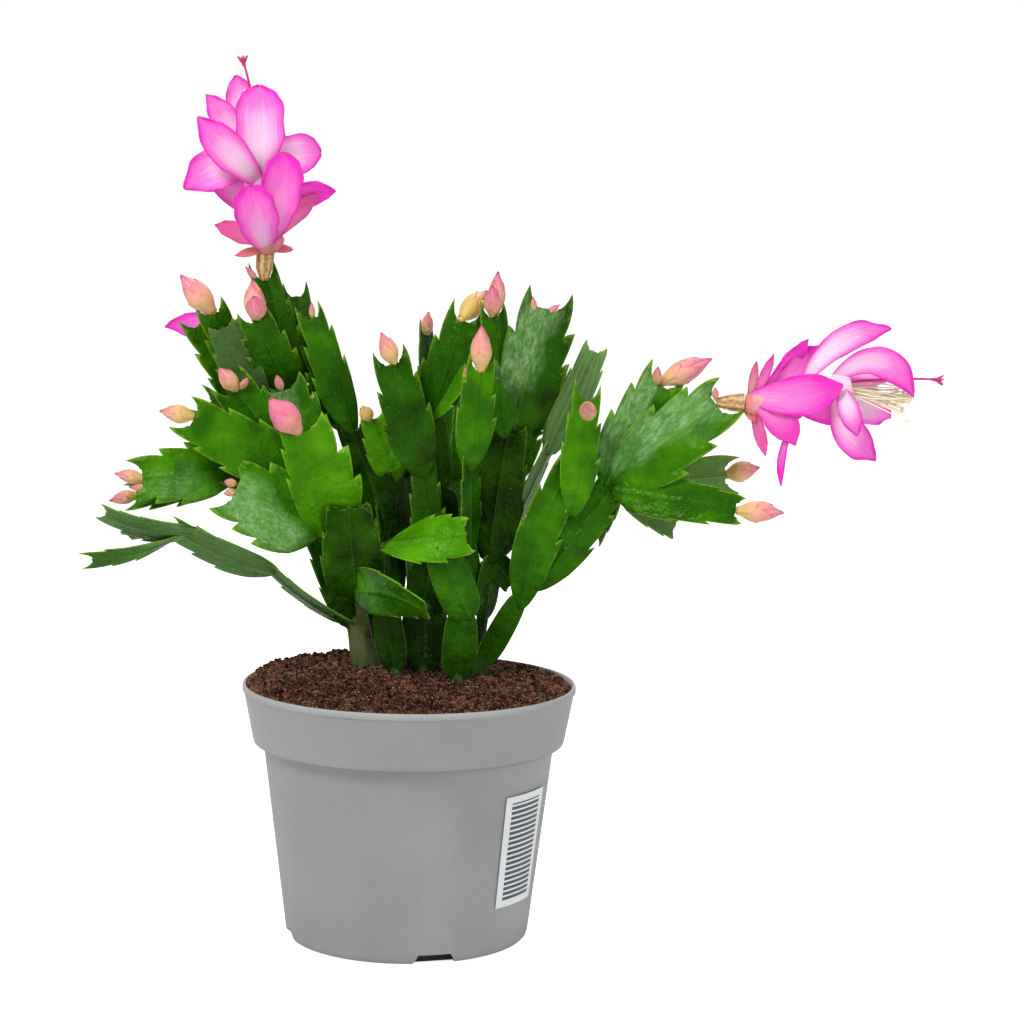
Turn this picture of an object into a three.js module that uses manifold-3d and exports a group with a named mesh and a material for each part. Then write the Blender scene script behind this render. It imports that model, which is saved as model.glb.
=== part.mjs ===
// A christmas cactus in a round nursery pot. Millimetres, +Z up, +X to the right, -Y to the front.
// The origin is the middle of the pot's foot, on the ground.
import * as THREE from 'three';
import { mergeVertices } from 'three/addons/utils/BufferGeometryUtils.js';
import Module from 'manifold-3d';

const wasm = await Module();
wasm.setup();

// Driving dimensions of the pot
const RIM_RADIUS = 60;
const POT_HEIGHT = 92;
const BAND_HEIGHT = 21;
const BODY_RADIUS = 52.3;
const FOOT_RADIUS = 44;
const FOOT_CORNER = 2.5;
const RIM_OVERHANG = 3.8;
const WALL = 1.3;
const FLOOR = 2;
const POT_SIDES = 36;
const NOTCH_COUNT = 4;
const NOTCH_WIDTH = 16.6;
const NOTCH_HEIGHT = 3.6;
const NOTCH_TURN = 13;

// Driving dimensions of the label, the soil and the plant
const LABEL_ARC = 27;
const LABEL_MIDDLE = 58;
const LABEL_HEIGHT = 41;
const LABEL_BOTTOM = 17.5;
const LABEL_THICKNESS = 0.3;
const SOIL_LEVEL = 88.5;
const SOIL_MOUND = 5;
const SOIL_BACK_LEFT = 4.6;
const SOIL_RINGS = [16, 32, 46, RIM_RADIUS - WALL - 1.4];
const GAP = 0.3;
const ROOT_BOTTOM = 74;
const LEAF_RIB = 1.25;
const LEAF_EDGE = 0.42;
const PETAL_RIB = 0.5;
const PETAL_EDGE = 0.36;
const SUNK = 2.5;

// Joints are noted as they show from the front, from 900 mm away and 260 mm up: across, up, and how far
// back they are. The further back a joint is, the further it lies from that line of sight.
const EYE = new THREE.Vector3(0, -900, 260);

function seen([across, up, back]) {
  const spread = 1 + back / -EYE.y;
  return new THREE.Vector3(across * spread, back, EYE.z + (up - EYE.z) * spread);
}

// Seeded draws, so that the plant comes out the same every time
function seeded(seed) {
  let state = seed * 7919 + 17;
  return () => {
    state = (state * 1664525 + 1013904223) % 4294967296;
    return state / 4294967296;
  };
}

// Solids: triangles given as points are merged into closed bodies, which can then be joined and cut
function solidOf(geometry) {
  const bare = new THREE.BufferGeometry();
  bare.setAttribute('position', geometry.attributes.position);
  if (geometry.index) bare.setIndex(geometry.index);
  const merged = mergeVertices(bare, 1e-4);
  return new wasm.Manifold(new wasm.Mesh({
    numProp: 3,
    vertProperties: new Float32Array(merged.attributes.position.array),
    triVerts: new Uint32Array(merged.index.array),
  }));
}

function solidOfFaces(points, faces) {
  const geometry = new THREE.BufferGeometry();
  const flat = points.flatMap(p => [p.x, p.y, p.z]);
  geometry.setAttribute('position', new THREE.Float32BufferAttribute(flat, 3));
  geometry.setIndex(faces.flat());
  return solidOf(geometry);
}

function geometryOf(solid) {
  const mesh = solid.getMesh();
  const geometry = new THREE.BufferGeometry();
  geometry.setAttribute('position', new THREE.Float32BufferAttribute(mesh.vertProperties, 3));
  geometry.setIndex([...mesh.triVerts]);
  return geometry;
}

function join(solids) {
  return solids.reduce((whole, piece) => whole.add(piece));
}

function largestPiece(solid) {
  return solid.decompose().sort((a, b) => b.volume() - a.volume())[0];
}

// A rod through points with a radius at each: trunks, ovaries, tubes, buds, styles and stamens
function rod(points, radii, sides) {
  const vertices = [];
  const faces = [];
  const first = points[1].clone().sub(points[0]).normalize();
  let side = new THREE.Vector3(1, 0, 0);
  if (Math.abs(first.x) > 0.7) side = new THREE.Vector3(0, 0, 1);
  points.forEach((point, ring) => {
    const before = points[Math.max(ring - 1, 0)];
    const after = points[Math.min(ring + 1, points.length - 1)];
    const along = after.clone().sub(before).normalize();
    side = side.clone().addScaledVector(along, -side.dot(along)).normalize();
    const other = along.clone().cross(side);
    for (let k = 0; k < sides; k += 1) {
      const angle = 2 * Math.PI * k / sides;
      vertices.push(point.clone()
        .addScaledVector(side, radii[ring] * Math.cos(angle))
        .addScaledVector(other, radii[ring] * Math.sin(angle)));
    }
  });
  for (let ring = 0; ring < points.length - 1; ring += 1) {
    for (let k = 0; k < sides; k += 1) {
      const a = ring * sides + k;
      const b = ring * sides + (k + 1) % sides;
      faces.push([a, b, b + sides], [a, b + sides, a + sides]);
    }
  }
  const last = (points.length - 1) * sides;
  for (let k = 1; k < sides - 1; k += 1) {
    faces.push([0, k + 1, k], [last, last + k, last + k + 1]);
  }
  return solidOfFaces(vertices, faces);
}

// A thin blade between two joints. It faces the front, then turns about its own length; it bows to its
// face, sways to its right, twists towards its tip and cups its edges forward. Both faces share one set of
// triangles. An outline point holds its place across (1 is half the width), along, and the rib it ties to.
// A blade folded on its rib shows two unlike halves: halves scales its left and its right.
function blade(shape, row) {
  const { left, right, ribs, ribHalf, edgeHalf } = shape;
  const { width, turn = 0, bow = 0, sway = 0, twist = 0, cup = 0.12, halves = [1, 1] } = row;
  const tip = seen(row.to);
  const joint = seen(row.from);
  const axis = tip.clone().sub(joint).normalize();
  const start = joint.clone().addScaledVector(axis, -SUNK);
  const toEye = EYE.clone().sub(joint).normalize();
  const face = toEye.addScaledVector(axis, -toEye.dot(axis)).normalize();
  const across = axis.clone().cross(face);
  const turned = vector => vector.clone().applyAxisAngle(axis, turn * Math.PI / 180);
  const faceTurned = turned(face);
  const acrossTurned = turned(across);

  const spine = along => start.clone().lerp(tip, along)
    .addScaledVector(faceTurned, bow * 4 * along * (1 - along))
    .addScaledVector(acrossTurned, sway * 4 * along * (1 - along));

  function pairAt(u, along, half, wave) {
    const tangent = spine(along + 0.01).sub(spine(along - 0.01)).normalize();
    const out = acrossTurned.clone().applyAxisAngle(axis, twist * along * Math.PI / 180);
    out.addScaledVector(tangent, -out.dot(tangent)).normalize();
    const up = out.clone().cross(tangent).negate();
    const lift = cup * Math.abs(u) ** 1.5 * width / 2 + wave;
    const middle = spine(along).addScaledVector(out, u * width / 2).addScaledVector(up, -lift);
    return [middle.clone().addScaledVector(up, -half), middle.addScaledVector(up, half)];
  }

  const vertices = [];
  const add = pair => vertices.push(...pair) - 2;
  const thin = Math.min(1, width / 13);
  const ribAt = ribs.map((along, k) => add(pairAt(0, along, Math.max(edgeHalf, ribHalf[k] * thin), 0)));
  const sideAt = (edge, reach) => edge.map(([u, along, tie, half = edgeHalf, wave = 0]) => (
    add(pairAt(reach * u, along, half, wave))));
  const leftAt = sideAt(left, -halves[0]);
  const rightAt = sideAt(right, halves[1]);
  const faces = [];
  const both = (a, b, c) => faces.push([a, b, c], [c + 1, b + 1, a + 1]);

  function fill(edge, at, flip) {
    let i = 0;
    let j = 0;
    while (i < edge.length - 1 || j < ribs.length - 1) {
      const nextEdge = i < edge.length - 1 && (j === ribs.length - 1 || edge[i + 1][2] < ribs[j + 1]);
      const corner = nextEdge ? at[i + 1] : ribAt[j + 1];
      if (flip) both(at[i], ribAt[j], corner);
      else both(at[i], corner, ribAt[j]);
      if (nextEdge) i += 1;
      else j += 1;
    }
  }

  fill(right, rightAt, false);
  fill(left, leftAt, true);
  const loop = [ribAt[0], ...rightAt, ribAt[ribs.length - 1], ...leftAt.slice().reverse()];
  loop.forEach((a, k) => {
    const b = loop[(k + 1) % loop.length];
    faces.push([a, a + 1, b + 1], [a, b + 1, b]);
  });
  return solidOfFaces(vertices, faces);
}

// Outline of one stem segment: pointed foot, two forward teeth a side, two horns round a hollow tip
const LEAF_RIBS = [0, 0.3, 0.62, 0.965];
const LEAF_RIB_HALF = [0.9, 1, 0.9, 0.7].map(part => part * LEAF_RIB);

function toothedEdge(draw, lead, teeth) {
  const stray = amount => (draw() - 0.5) * amount;
  const low = 0.55 + lead + stray(0.05);
  const high = 0.8 + lead + stray(0.04);
  const tooth = (smooth, out, along, tie, wave) => (
    [smooth + (out - smooth) * teeth, along, tie, LEAF_EDGE, wave * teeth]);
  return [
    [0.9, 0.22, 0.1, 0.6],
    tooth(0.9, 1.1 + stray(0.1), low + 0.04, 0.31, stray(1.6)),
    [0.88, low, 0.33],
    tooth(0.77, 0.96 + stray(0.1), high + 0.035, 0.5, stray(1.4)),
    [0.72, high, 0.55],
    tooth(0.5, 0.66 + stray(0.12), 0.99 + (0.12 + stray(0.06)) * teeth, 0.7, stray(1.2)),
    [0.34, 0.985, 0.8],
  ];
}

function leaf(row, seed) {
  const draw = seeded(seed);
  const lead = draw() < 0.5 ? -0.05 : 0.03;
  const { teeth = 1 } = row;
  return blade({
    left: toothedEdge(draw, lead, teeth),
    right: toothedEdge(draw, -0.02 - lead, teeth),
    ribs: LEAF_RIBS,
    ribHalf: LEAF_RIB_HALF,
    edgeHalf: LEAF_EDGE,
  }, row);
}

// Old segments low on a stem: the same body without teeth or horns
function oldLeaf(row) {
  const edge = [[0.4, 0, 0, 1], [0.95, 0.3, 0.2, 0.7], [0.95, 0.7, 0.6], [0.4, 1, 0.95]];
  return blade({ left: edge, right: edge, ribs: [0, 0.5, 1], ribHalf: [1.5, 1.6, 1], edgeHalf: 0.5 }, row);
}

// The stems. A row is one segment: its joint and tip as seen, its width, and how it turns, bows and so on.
const STEMS = {
  stem_left: {
    trunks: [
      { path: [[-15.5, 95, 18], [-17, 104, 16], [-20, 114, 13]], radii: [6, 5, 3.2] },
      { path: [[-16, 108, 15], [-17.5, 117, 8], [-18.7, 124.5, 0]], radii: [2.6, 2, 1.7] },
    ],
    rows: [
      { from: [-20, 113, 13], to: [-50, 133, 6], width: 13, turn: -72, bow: 2, teeth: 0.5 },
      { from: [-50, 132.5, 6], to: [-84, 147, 2], width: 16, turn: -50, bow: 2, teeth: 0.8 },
      { from: [-78, 146.5, 1], to: [-110, 152.5, -5], width: 15, turn: -58, bow: 3, teeth: 0.4 },
      { from: [-82, 145.5, 2], to: [-115, 135, -6], width: 9, turn: -84, twist: 60, bow: 2, teeth: 0.8 },
      { from: [-83.5, 147, 4], to: [-101, 144, 15], width: 11, turn: -70, teeth: 0.5 },
      { from: [-20.5, 113, 13], to: [-34.5, 147, 3], width: 15, turn: 15, bow: 1, teeth: 0.4 },
      { from: [-34.5, 147.5, 3], to: [-64, 161.5, -6], width: 29, turn: 8, bow: 2, cup: 0.16 },
      { from: [-36, 150, 6], to: [-66, 168.5, 10], width: 19, turn: 28, bow: 2, teeth: 0.5 },
      { from: [-65, 168, 9], to: [-97, 164.5, 2], width: 20, turn: 4, bow: 2 },
      { from: [-63, 166.5, 10.5], to: [-99, 158.3, 14], width: 14, turn: 20 },
      { from: [-32, 146.5, 2], to: [-41.5, 179.5, -14], width: 22, bow: 3, halves: [0.6, 1.6], teeth: 0.8 },
      { from: [-34, 148, 5], to: [-39, 168.5, 6], width: 13, turn: 20, old: true },
      { from: [-42, 167, 4], to: [-79, 187, -6], width: 21, turn: -4, bow: 3, teeth: 0.8 },
      { from: [-41, 169, 9], to: [-74, 191.5, 6], width: 15, turn: 20, bow: 1 },
      { from: [-40, 168.5, 7], to: [-63.5, 197, 3], width: 19, turn: -6, bow: 2 },
      { from: [-37, 166, 9], to: [-47, 197.5, 7], width: 24, turn: 6, bow: 2 },
      { from: [-18.7, 123.5, 0], to: [-22, 156, -6], width: 20, turn: -8, bow: 3, cup: 0.2, teeth: 0.3 },
      { from: [-18.7, 124, -1], to: [7.4, 119.5, -28], width: 18, turn: 20, bow: 3, sway: -3.5, teeth: 0.2 },
    ],
  },
  stem_back_left: {
    trunks: [{ path: [[-9, 95, 25], [-12, 106, 25], [-15, 118, 24]], radii: [3.2, 2.6, 2] }],
    rows: [
      { from: [-15, 117, 24], to: [-26, 148, 22], width: 13, turn: 35 },
      { from: [-26, 147, 22], to: [-38, 170, 19], width: 15, turn: 10, old: true },
      { from: [-39, 169, 18], to: [-55, 190.5, 17], width: 13, turn: 8, old: true },
      { from: [-37, 169, 21], to: [-42, 200, 19], width: 14, turn: 0, old: true },
      { from: [-55.5, 188, 20], to: [-76.5, 220.5, 21], width: 18, turn: 20, bow: 2 },
      { from: [-55, 190, 15], to: [-68, 219.5, 9], width: 16, turn: -5, bow: 2, teeth: 0.3 },
      { from: [-55, 191, 18], to: [-71.5, 224.5, 17], width: 15, turn: 10 },
      { from: [-42, 199, 16], to: [-53, 237.5, 12], width: 13, turn: 10, bow: 1 },
      { from: [-41, 199, 21], to: [-42, 231, 21], width: 14, turn: 20, bow: 2 },
      { from: [-44, 198, 17], to: [-56, 222, 5], width: 16, turn: -10, bow: 2 },
      { from: [-43, 198, 22], to: [-56, 207, 44], width: 15, turn: -40 },
      { from: [-38, 169, 22], to: [-48, 186, 48], width: 18, turn: -30, bow: 2 },
    ],
  },
  stem_middle: {
    trunks: [{ path: [[-4.5, 93, 5], [-6, 99.5, 5.4]], radii: [2.8, 2.2] }],
    rows: [
      { from: [-5.5, 98.5, 5], to: [-9.5, 122.5, 8], width: 12, turn: -20, old: true },
      { from: [-9.5, 121.5, 8], to: [-8.5, 147, 13], width: 15, turn: 40, old: true },
      { from: [-8, 146, 14], to: [-21.5, 184.5, 13], width: 15, turn: -10, bow: 1 },
      { from: [-21.5, 183.5, 13], to: [-36, 224, 9], width: 15, turn: 6, bow: 2, halves: [1, 0.7] },
      { from: [-23, 184, 15], to: [-33.5, 212, 17], width: 11, turn: 30 },
      { from: [-9.5, 146, 16], to: [-12.5, 168, 16], width: 10, turn: 62 },
      { from: [-9, 147, 19], to: [-14, 163, 48], width: 18, turn: 20, bow: 2 },
      { from: [-6.5, 166.8, 13], to: [-14.5, 187.5, 6], width: 14, turn: 0, bow: 1, teeth: 0.35 },
    ],
  },
  stem_centre: {
    trunks: [{ path: [[5, 92, 8], [4.6, 99.5, 9]], radii: [3.2, 2.6] }],
    rows: [
      { from: [4.7, 98.5, 9], to: [5.5, 130, 15], width: 15, turn: 6, old: true },
      { from: [2, 118.5, 15], to: [-0.5, 147, 20], width: 9, turn: 62, old: true },
      { from: [-0.5, 146, 20], to: [-4.5, 169, 25], width: 11, turn: 30, old: true },
      { from: [-4.5, 167.5, 25], to: [-4, 192, 30], width: 16, turn: 0, bow: 1, teeth: 0.5 },
      { from: [4, 118.5, 14], to: [7, 138, 10], width: 13, turn: 10, old: true },
      { from: [6.5, 137, 7.5], to: [4, 169, 3], width: 12, turn: 10, bow: 1 },
      { from: [3.5, 168, 3], to: [-8, 208, -2], width: 17, turn: 0, bow: 2 },
      { from: [8, 137.5, 9], to: [11, 163, 13], width: 15, turn: 15, old: true },
      { from: [10.8, 162, 13], to: [7.5, 190, 9], width: 9, turn: 20 },
      { from: [7, 188.5, 9], to: [18, 223.5, 6], width: 17, turn: -6, bow: 2 },
      { from: [8, 189.5, 8], to: [19, 203, 0], width: 11, turn: -52 },
      { from: [5, 189, 12], to: [4, 218, 16], width: 14, turn: 62 },
      { from: [8, 139, 12], to: [13, 165, 46], width: 18, turn: -20, bow: 2 },
      { from: [13, 164, 46], to: [15, 198, 60], width: 18, turn: 10, bow: 2 },
    ],
  },
  stem_front: {
    trunks: [{ path: [[17, 91, -6], [17.4, 96.5, -6]], radii: [3, 2.4] }],
    rows: [
      { from: [17.5, 95.5, -6], to: [18.5, 119, -7], width: 13, turn: 8, old: true },
      { from: [19.7, 117.5, -7], to: [9, 141.2, -12.6], width: 15, turn: 12, bow: 1, old: true },
      { from: [-9.5, 141.3, -4], to: [20.5, 146, -15], width: 20, turn: -80, twist: 85,
        halves: [0.9, 1.1], teeth: 0.4 },
    ],
  },
  stem_centre_right: {
    trunks: [{ path: [[23, 95, 19], [24.5, 107, 18], [26.5, 119, 15]], radii: [3.2, 2.6, 2] }],
    rows: [
      { from: [26.3, 117.5, 15], to: [29, 139, 11], width: 10, turn: 35, old: true },
      { from: [26, 117, 14], to: [20.5, 140, 9], width: 9, turn: 25 },
      { from: [20.8, 139, 9], to: [20.5, 172, -3], width: 11, turn: 48 },
      { from: [20.5, 171, -3], to: [24, 206, -9], width: 13, turn: 8, bow: 1 },
      { from: [28.5, 138, 11], to: [34.5, 184.5, 6], width: 21, turn: -12, bow: 2, teeth: 0.35 },
      { from: [32.5, 183, 5], to: [28, 225.5, 4], width: 13, turn: 12, bow: 1, teeth: 0.8 },
      { from: [36, 183.5, 8], to: [47.5, 227.5, 3], width: 24, turn: 0, bow: 3 },
      { from: [29, 137, 11], to: [36.5, 127.5, 15], width: 11, turn: 0, teeth: 0.3 },
      { from: [31, 139, 14], to: [49, 179, 13], width: 13, turn: 66, teeth: 0.4 },
      { from: [49, 177, 13], to: [64.5, 213.5, 11], width: 15, turn: 28, bow: 1, teeth: 0.35 },
      { from: [35.5, 181.5, 8], to: [51, 193, 20], width: 11, turn: 20 },
      { from: [29, 138, 16], to: [33, 164, 46], width: 18, turn: 10, bow: 2 },
      { from: [33, 163, 46], to: [40, 196, 58], width: 18, turn: 0, bow: 2 },
    ],
  },
  stem_right: {
    trunks: [{ path: [[25, 95, 9], [28, 102.5, 8]], radii: [3.4, 2.4] }],
    rows: [
      { from: [27, 100.5, 8], to: [39.5, 124, 5], width: 9.5, turn: 15, old: true },
      { from: [40.5, 121.5, 5], to: [56, 169, 0], width: 15, turn: 0, sway: -2.5, bow: 2 },
      { from: [58, 155, -1], to: [62, 196.5, -8], width: 13, turn: 5, bow: 1 },
      { from: [46, 128, 4], to: [73, 166, 3], width: 15, turn: 8, bow: 2 },
      { from: [70, 166, 3], to: [89, 201.5, 0], width: 20, turn: -6, bow: 2 },
      { from: [74, 166, 1], to: [110, 194.5, -9], width: 24, turn: -4, bow: 3 },
      { from: [74, 162, 0], to: [118, 155.5, -13], width: 16, turn: -16, bow: 2, teeth: 0.6 },
      { from: [73, 164.5, 4], to: [113.5, 168.5, 11], width: 18, turn: 10, bow: 1 },
      { from: [75.5, 162.5, 5], to: [95, 149, 12], width: 15, turn: -30, teeth: 0.3 },
      { from: [73, 162, 5], to: [66, 145, 8], width: 10, turn: 35 },
      { from: [72, 166, 5], to: [84, 178, 40], width: 18, turn: -20, bow: 2 },
    ],
  },
};

// Buds: joint and tip as seen, and width. Each one stands in a shallow seat at the tip of its segment.
const BUDS = {
  bud_left_1: { on: 'stem_left', from: [-97, 164.7, 2], to: [-105.5, 166.2, 0], width: 5 },
  bud_left_2: { on: 'stem_left', from: [-96.6, 161.5, 2], to: [-100.6, 161.2, 1], width: 3 },
  bud_left_3: { on: 'stem_left', from: [-99.4, 158.4, 14], to: [-107.5, 156.4, 12], width: 5 },
  bud_left_4: { on: 'stem_left', from: [-64, 163.3, -6], to: [-66.8, 163.8, -9], width: 3 },
  bud_left_5: { on: 'stem_left', from: [-64.2, 160, -6], to: [-67, 159.4, -9], width: 3 },
  bud_left_6: { on: 'stem_left', from: [-79.5, 187.2, -6], to: [-89.5, 188.7, -8], width: 6.4 },
  bud_left_7: { on: 'stem_left', from: [-63.6, 197.8, 2], to: [-68.7, 204.2, -2], width: 6.2 },
  bud_left_8: { on: 'stem_left', from: [-60.4, 198.2, 1], to: [-58.4, 200.8, -2], width: 2.6 },
  bud_left_9: { on: 'stem_left', from: [-47.3, 198.2, 7], to: [-48.4, 202, 5], width: 3.2 },
  bud_left_10: { on: 'stem_left', from: [-40.7, 179.8, -14.3], to: [-50.8, 193.2, -19], width: 9.6 },
  bud_back_1: { on: 'stem_back_left', from: [-72, 225, 17], to: [-82.2, 236.5, 16], width: 9 },
  bud_back_2: { on: 'stem_back_left', from: [-55.4, 222.4, 3.1], to: [-56.6, 229.4, -4.4], width: 7 },
  bud_back_3: { on: 'stem_back_left', from: [-55.9, 222.8, 7.6], to: [-57.2, 237.3, 9], width: 7.2 },
  bud_back_4: { on: 'stem_back_left', from: [-56.6, 236.6, 11.5], to: [-59.6, 240.2, 9.5], width: 2.4 },
  bud_middle_1: { on: 'stem_middle', from: [-36, 223.6, 9], to: [-36.3, 228, 7], width: 2.2 },
  bud_middle_2: { on: 'stem_middle', from: [-16.2, 188, 5], to: [-18.6, 193.4, 3], width: 4.6 },
  bud_centre_1: { on: 'stem_centre', from: [-7.4, 208, -2], to: [-11.4, 217.4, -4], width: 6.4 },
  bud_centre_2: { on: 'stem_centre', from: [4.2, 218, 16], to: [5.2, 225, 15], width: 4.6 },
  bud_centre_3: { on: 'stem_centre', from: [17.6, 223.8, 6], to: [25.6, 232.8, 17], width: 7.6 },
  bud_centre_4: { on: 'stem_centre', from: [18.6, 202.6, 0.2], to: [19.4, 206.6, -2], width: 2.2 },
  bud_centre_right_1: { on: 'stem_centre_right', from: [24, 206, -9], to: [24, 220.4, -12], width: 7.4 },
  bud_centre_right_2: { on: 'stem_centre_right', from: [27.7, 225.6, 2.6], to: [27.8, 234.6, -5], width: 6 },
  bud_centre_right_3: { on: 'stem_centre_right', from: [28.8, 226, 6.4], to: [29.6, 239.4, 9.5], width: 6.4 },
  bud_centre_right_4: { on: 'stem_centre_right', from: [42.5, 227.6, 3], to: [42.2, 231, 2], width: 2.4 },
  bud_centre_right_5: { on: 'stem_centre_right', from: [48.4, 226, 3], to: [51.6, 228.4, 2], width: 2.6 },
  bud_right_1: { on: 'stem_right', from: [62.8, 189, -7], to: [61.8, 193.2, -21], width: 6.6 },
  bud_right_2: { on: 'stem_right', from: [89.8, 202, 0], to: [106, 209.8, -2], width: 8.4 },
  bud_right_3: { on: 'stem_right', from: [86.8, 202, -2], to: [87.2, 206.8, -7], width: 3.4 },
  bud_right_4: { on: 'stem_right', from: [108, 197, -10.6], to: [107.8, 199.8, -13], width: 2.4 },
  bud_right_5: { on: 'stem_right', from: [118.6, 155.5, -13], to: [133.5, 155, -16], width: 7.6 },
  bud_right_6: { on: 'stem_right', from: [114.2, 168.8, 11], to: [124.4, 171.2, 11], width: 7.4 },
};

const BUD_SHAPE = { sides: 6, along: [0, 0.4, 0.78, 1], girth: [0.42, 1, 0.66, 0.1] };
const TINY_BUD_SHAPE = { sides: 5, along: [0, 0.25, 0.6, 1], girth: [0.5, 0.95, 0.9, 0.2] };
const TINY_BUD_WIDTH = 4;
const BUD_DEPTH = 1.2;

function bud(row, extra = 0) {
  const { sides, along, girth } = row.width < TINY_BUD_WIDTH ? TINY_BUD_SHAPE : BUD_SHAPE;
  const from = seen(row.from);
  const to = seen(row.to);
  const axis = to.clone().sub(from).normalize();
  const start = from.clone().addScaledVector(axis, -BUD_DEPTH - extra);
  const end = to.clone().addScaledVector(axis, extra);
  const points = along.map(part => start.clone().lerp(end, part));
  return rod(points, girth.map(part => part * row.width / 2 + extra), sides);
}

// Blooms: a ribbed ovary on the segment's tip, a tube with two tiers of petals, stamens and a long style
const PETAL_HALF_OUTLINE = [[0.92, 0.42, 0.3], [0.94, 0.72, 0.6], [0.45, 0.94, 0.9]];
const PETAL_RIBS = [0, 0.5, 1];

function petal(row) {
  return blade({
    left: PETAL_HALF_OUTLINE,
    right: PETAL_HALF_OUTLINE,
    ribs: PETAL_RIBS,
    ribHalf: PETAL_RIBS.map(() => PETAL_RIB),
    edgeHalf: PETAL_EDGE,
  }, row);
}

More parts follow.
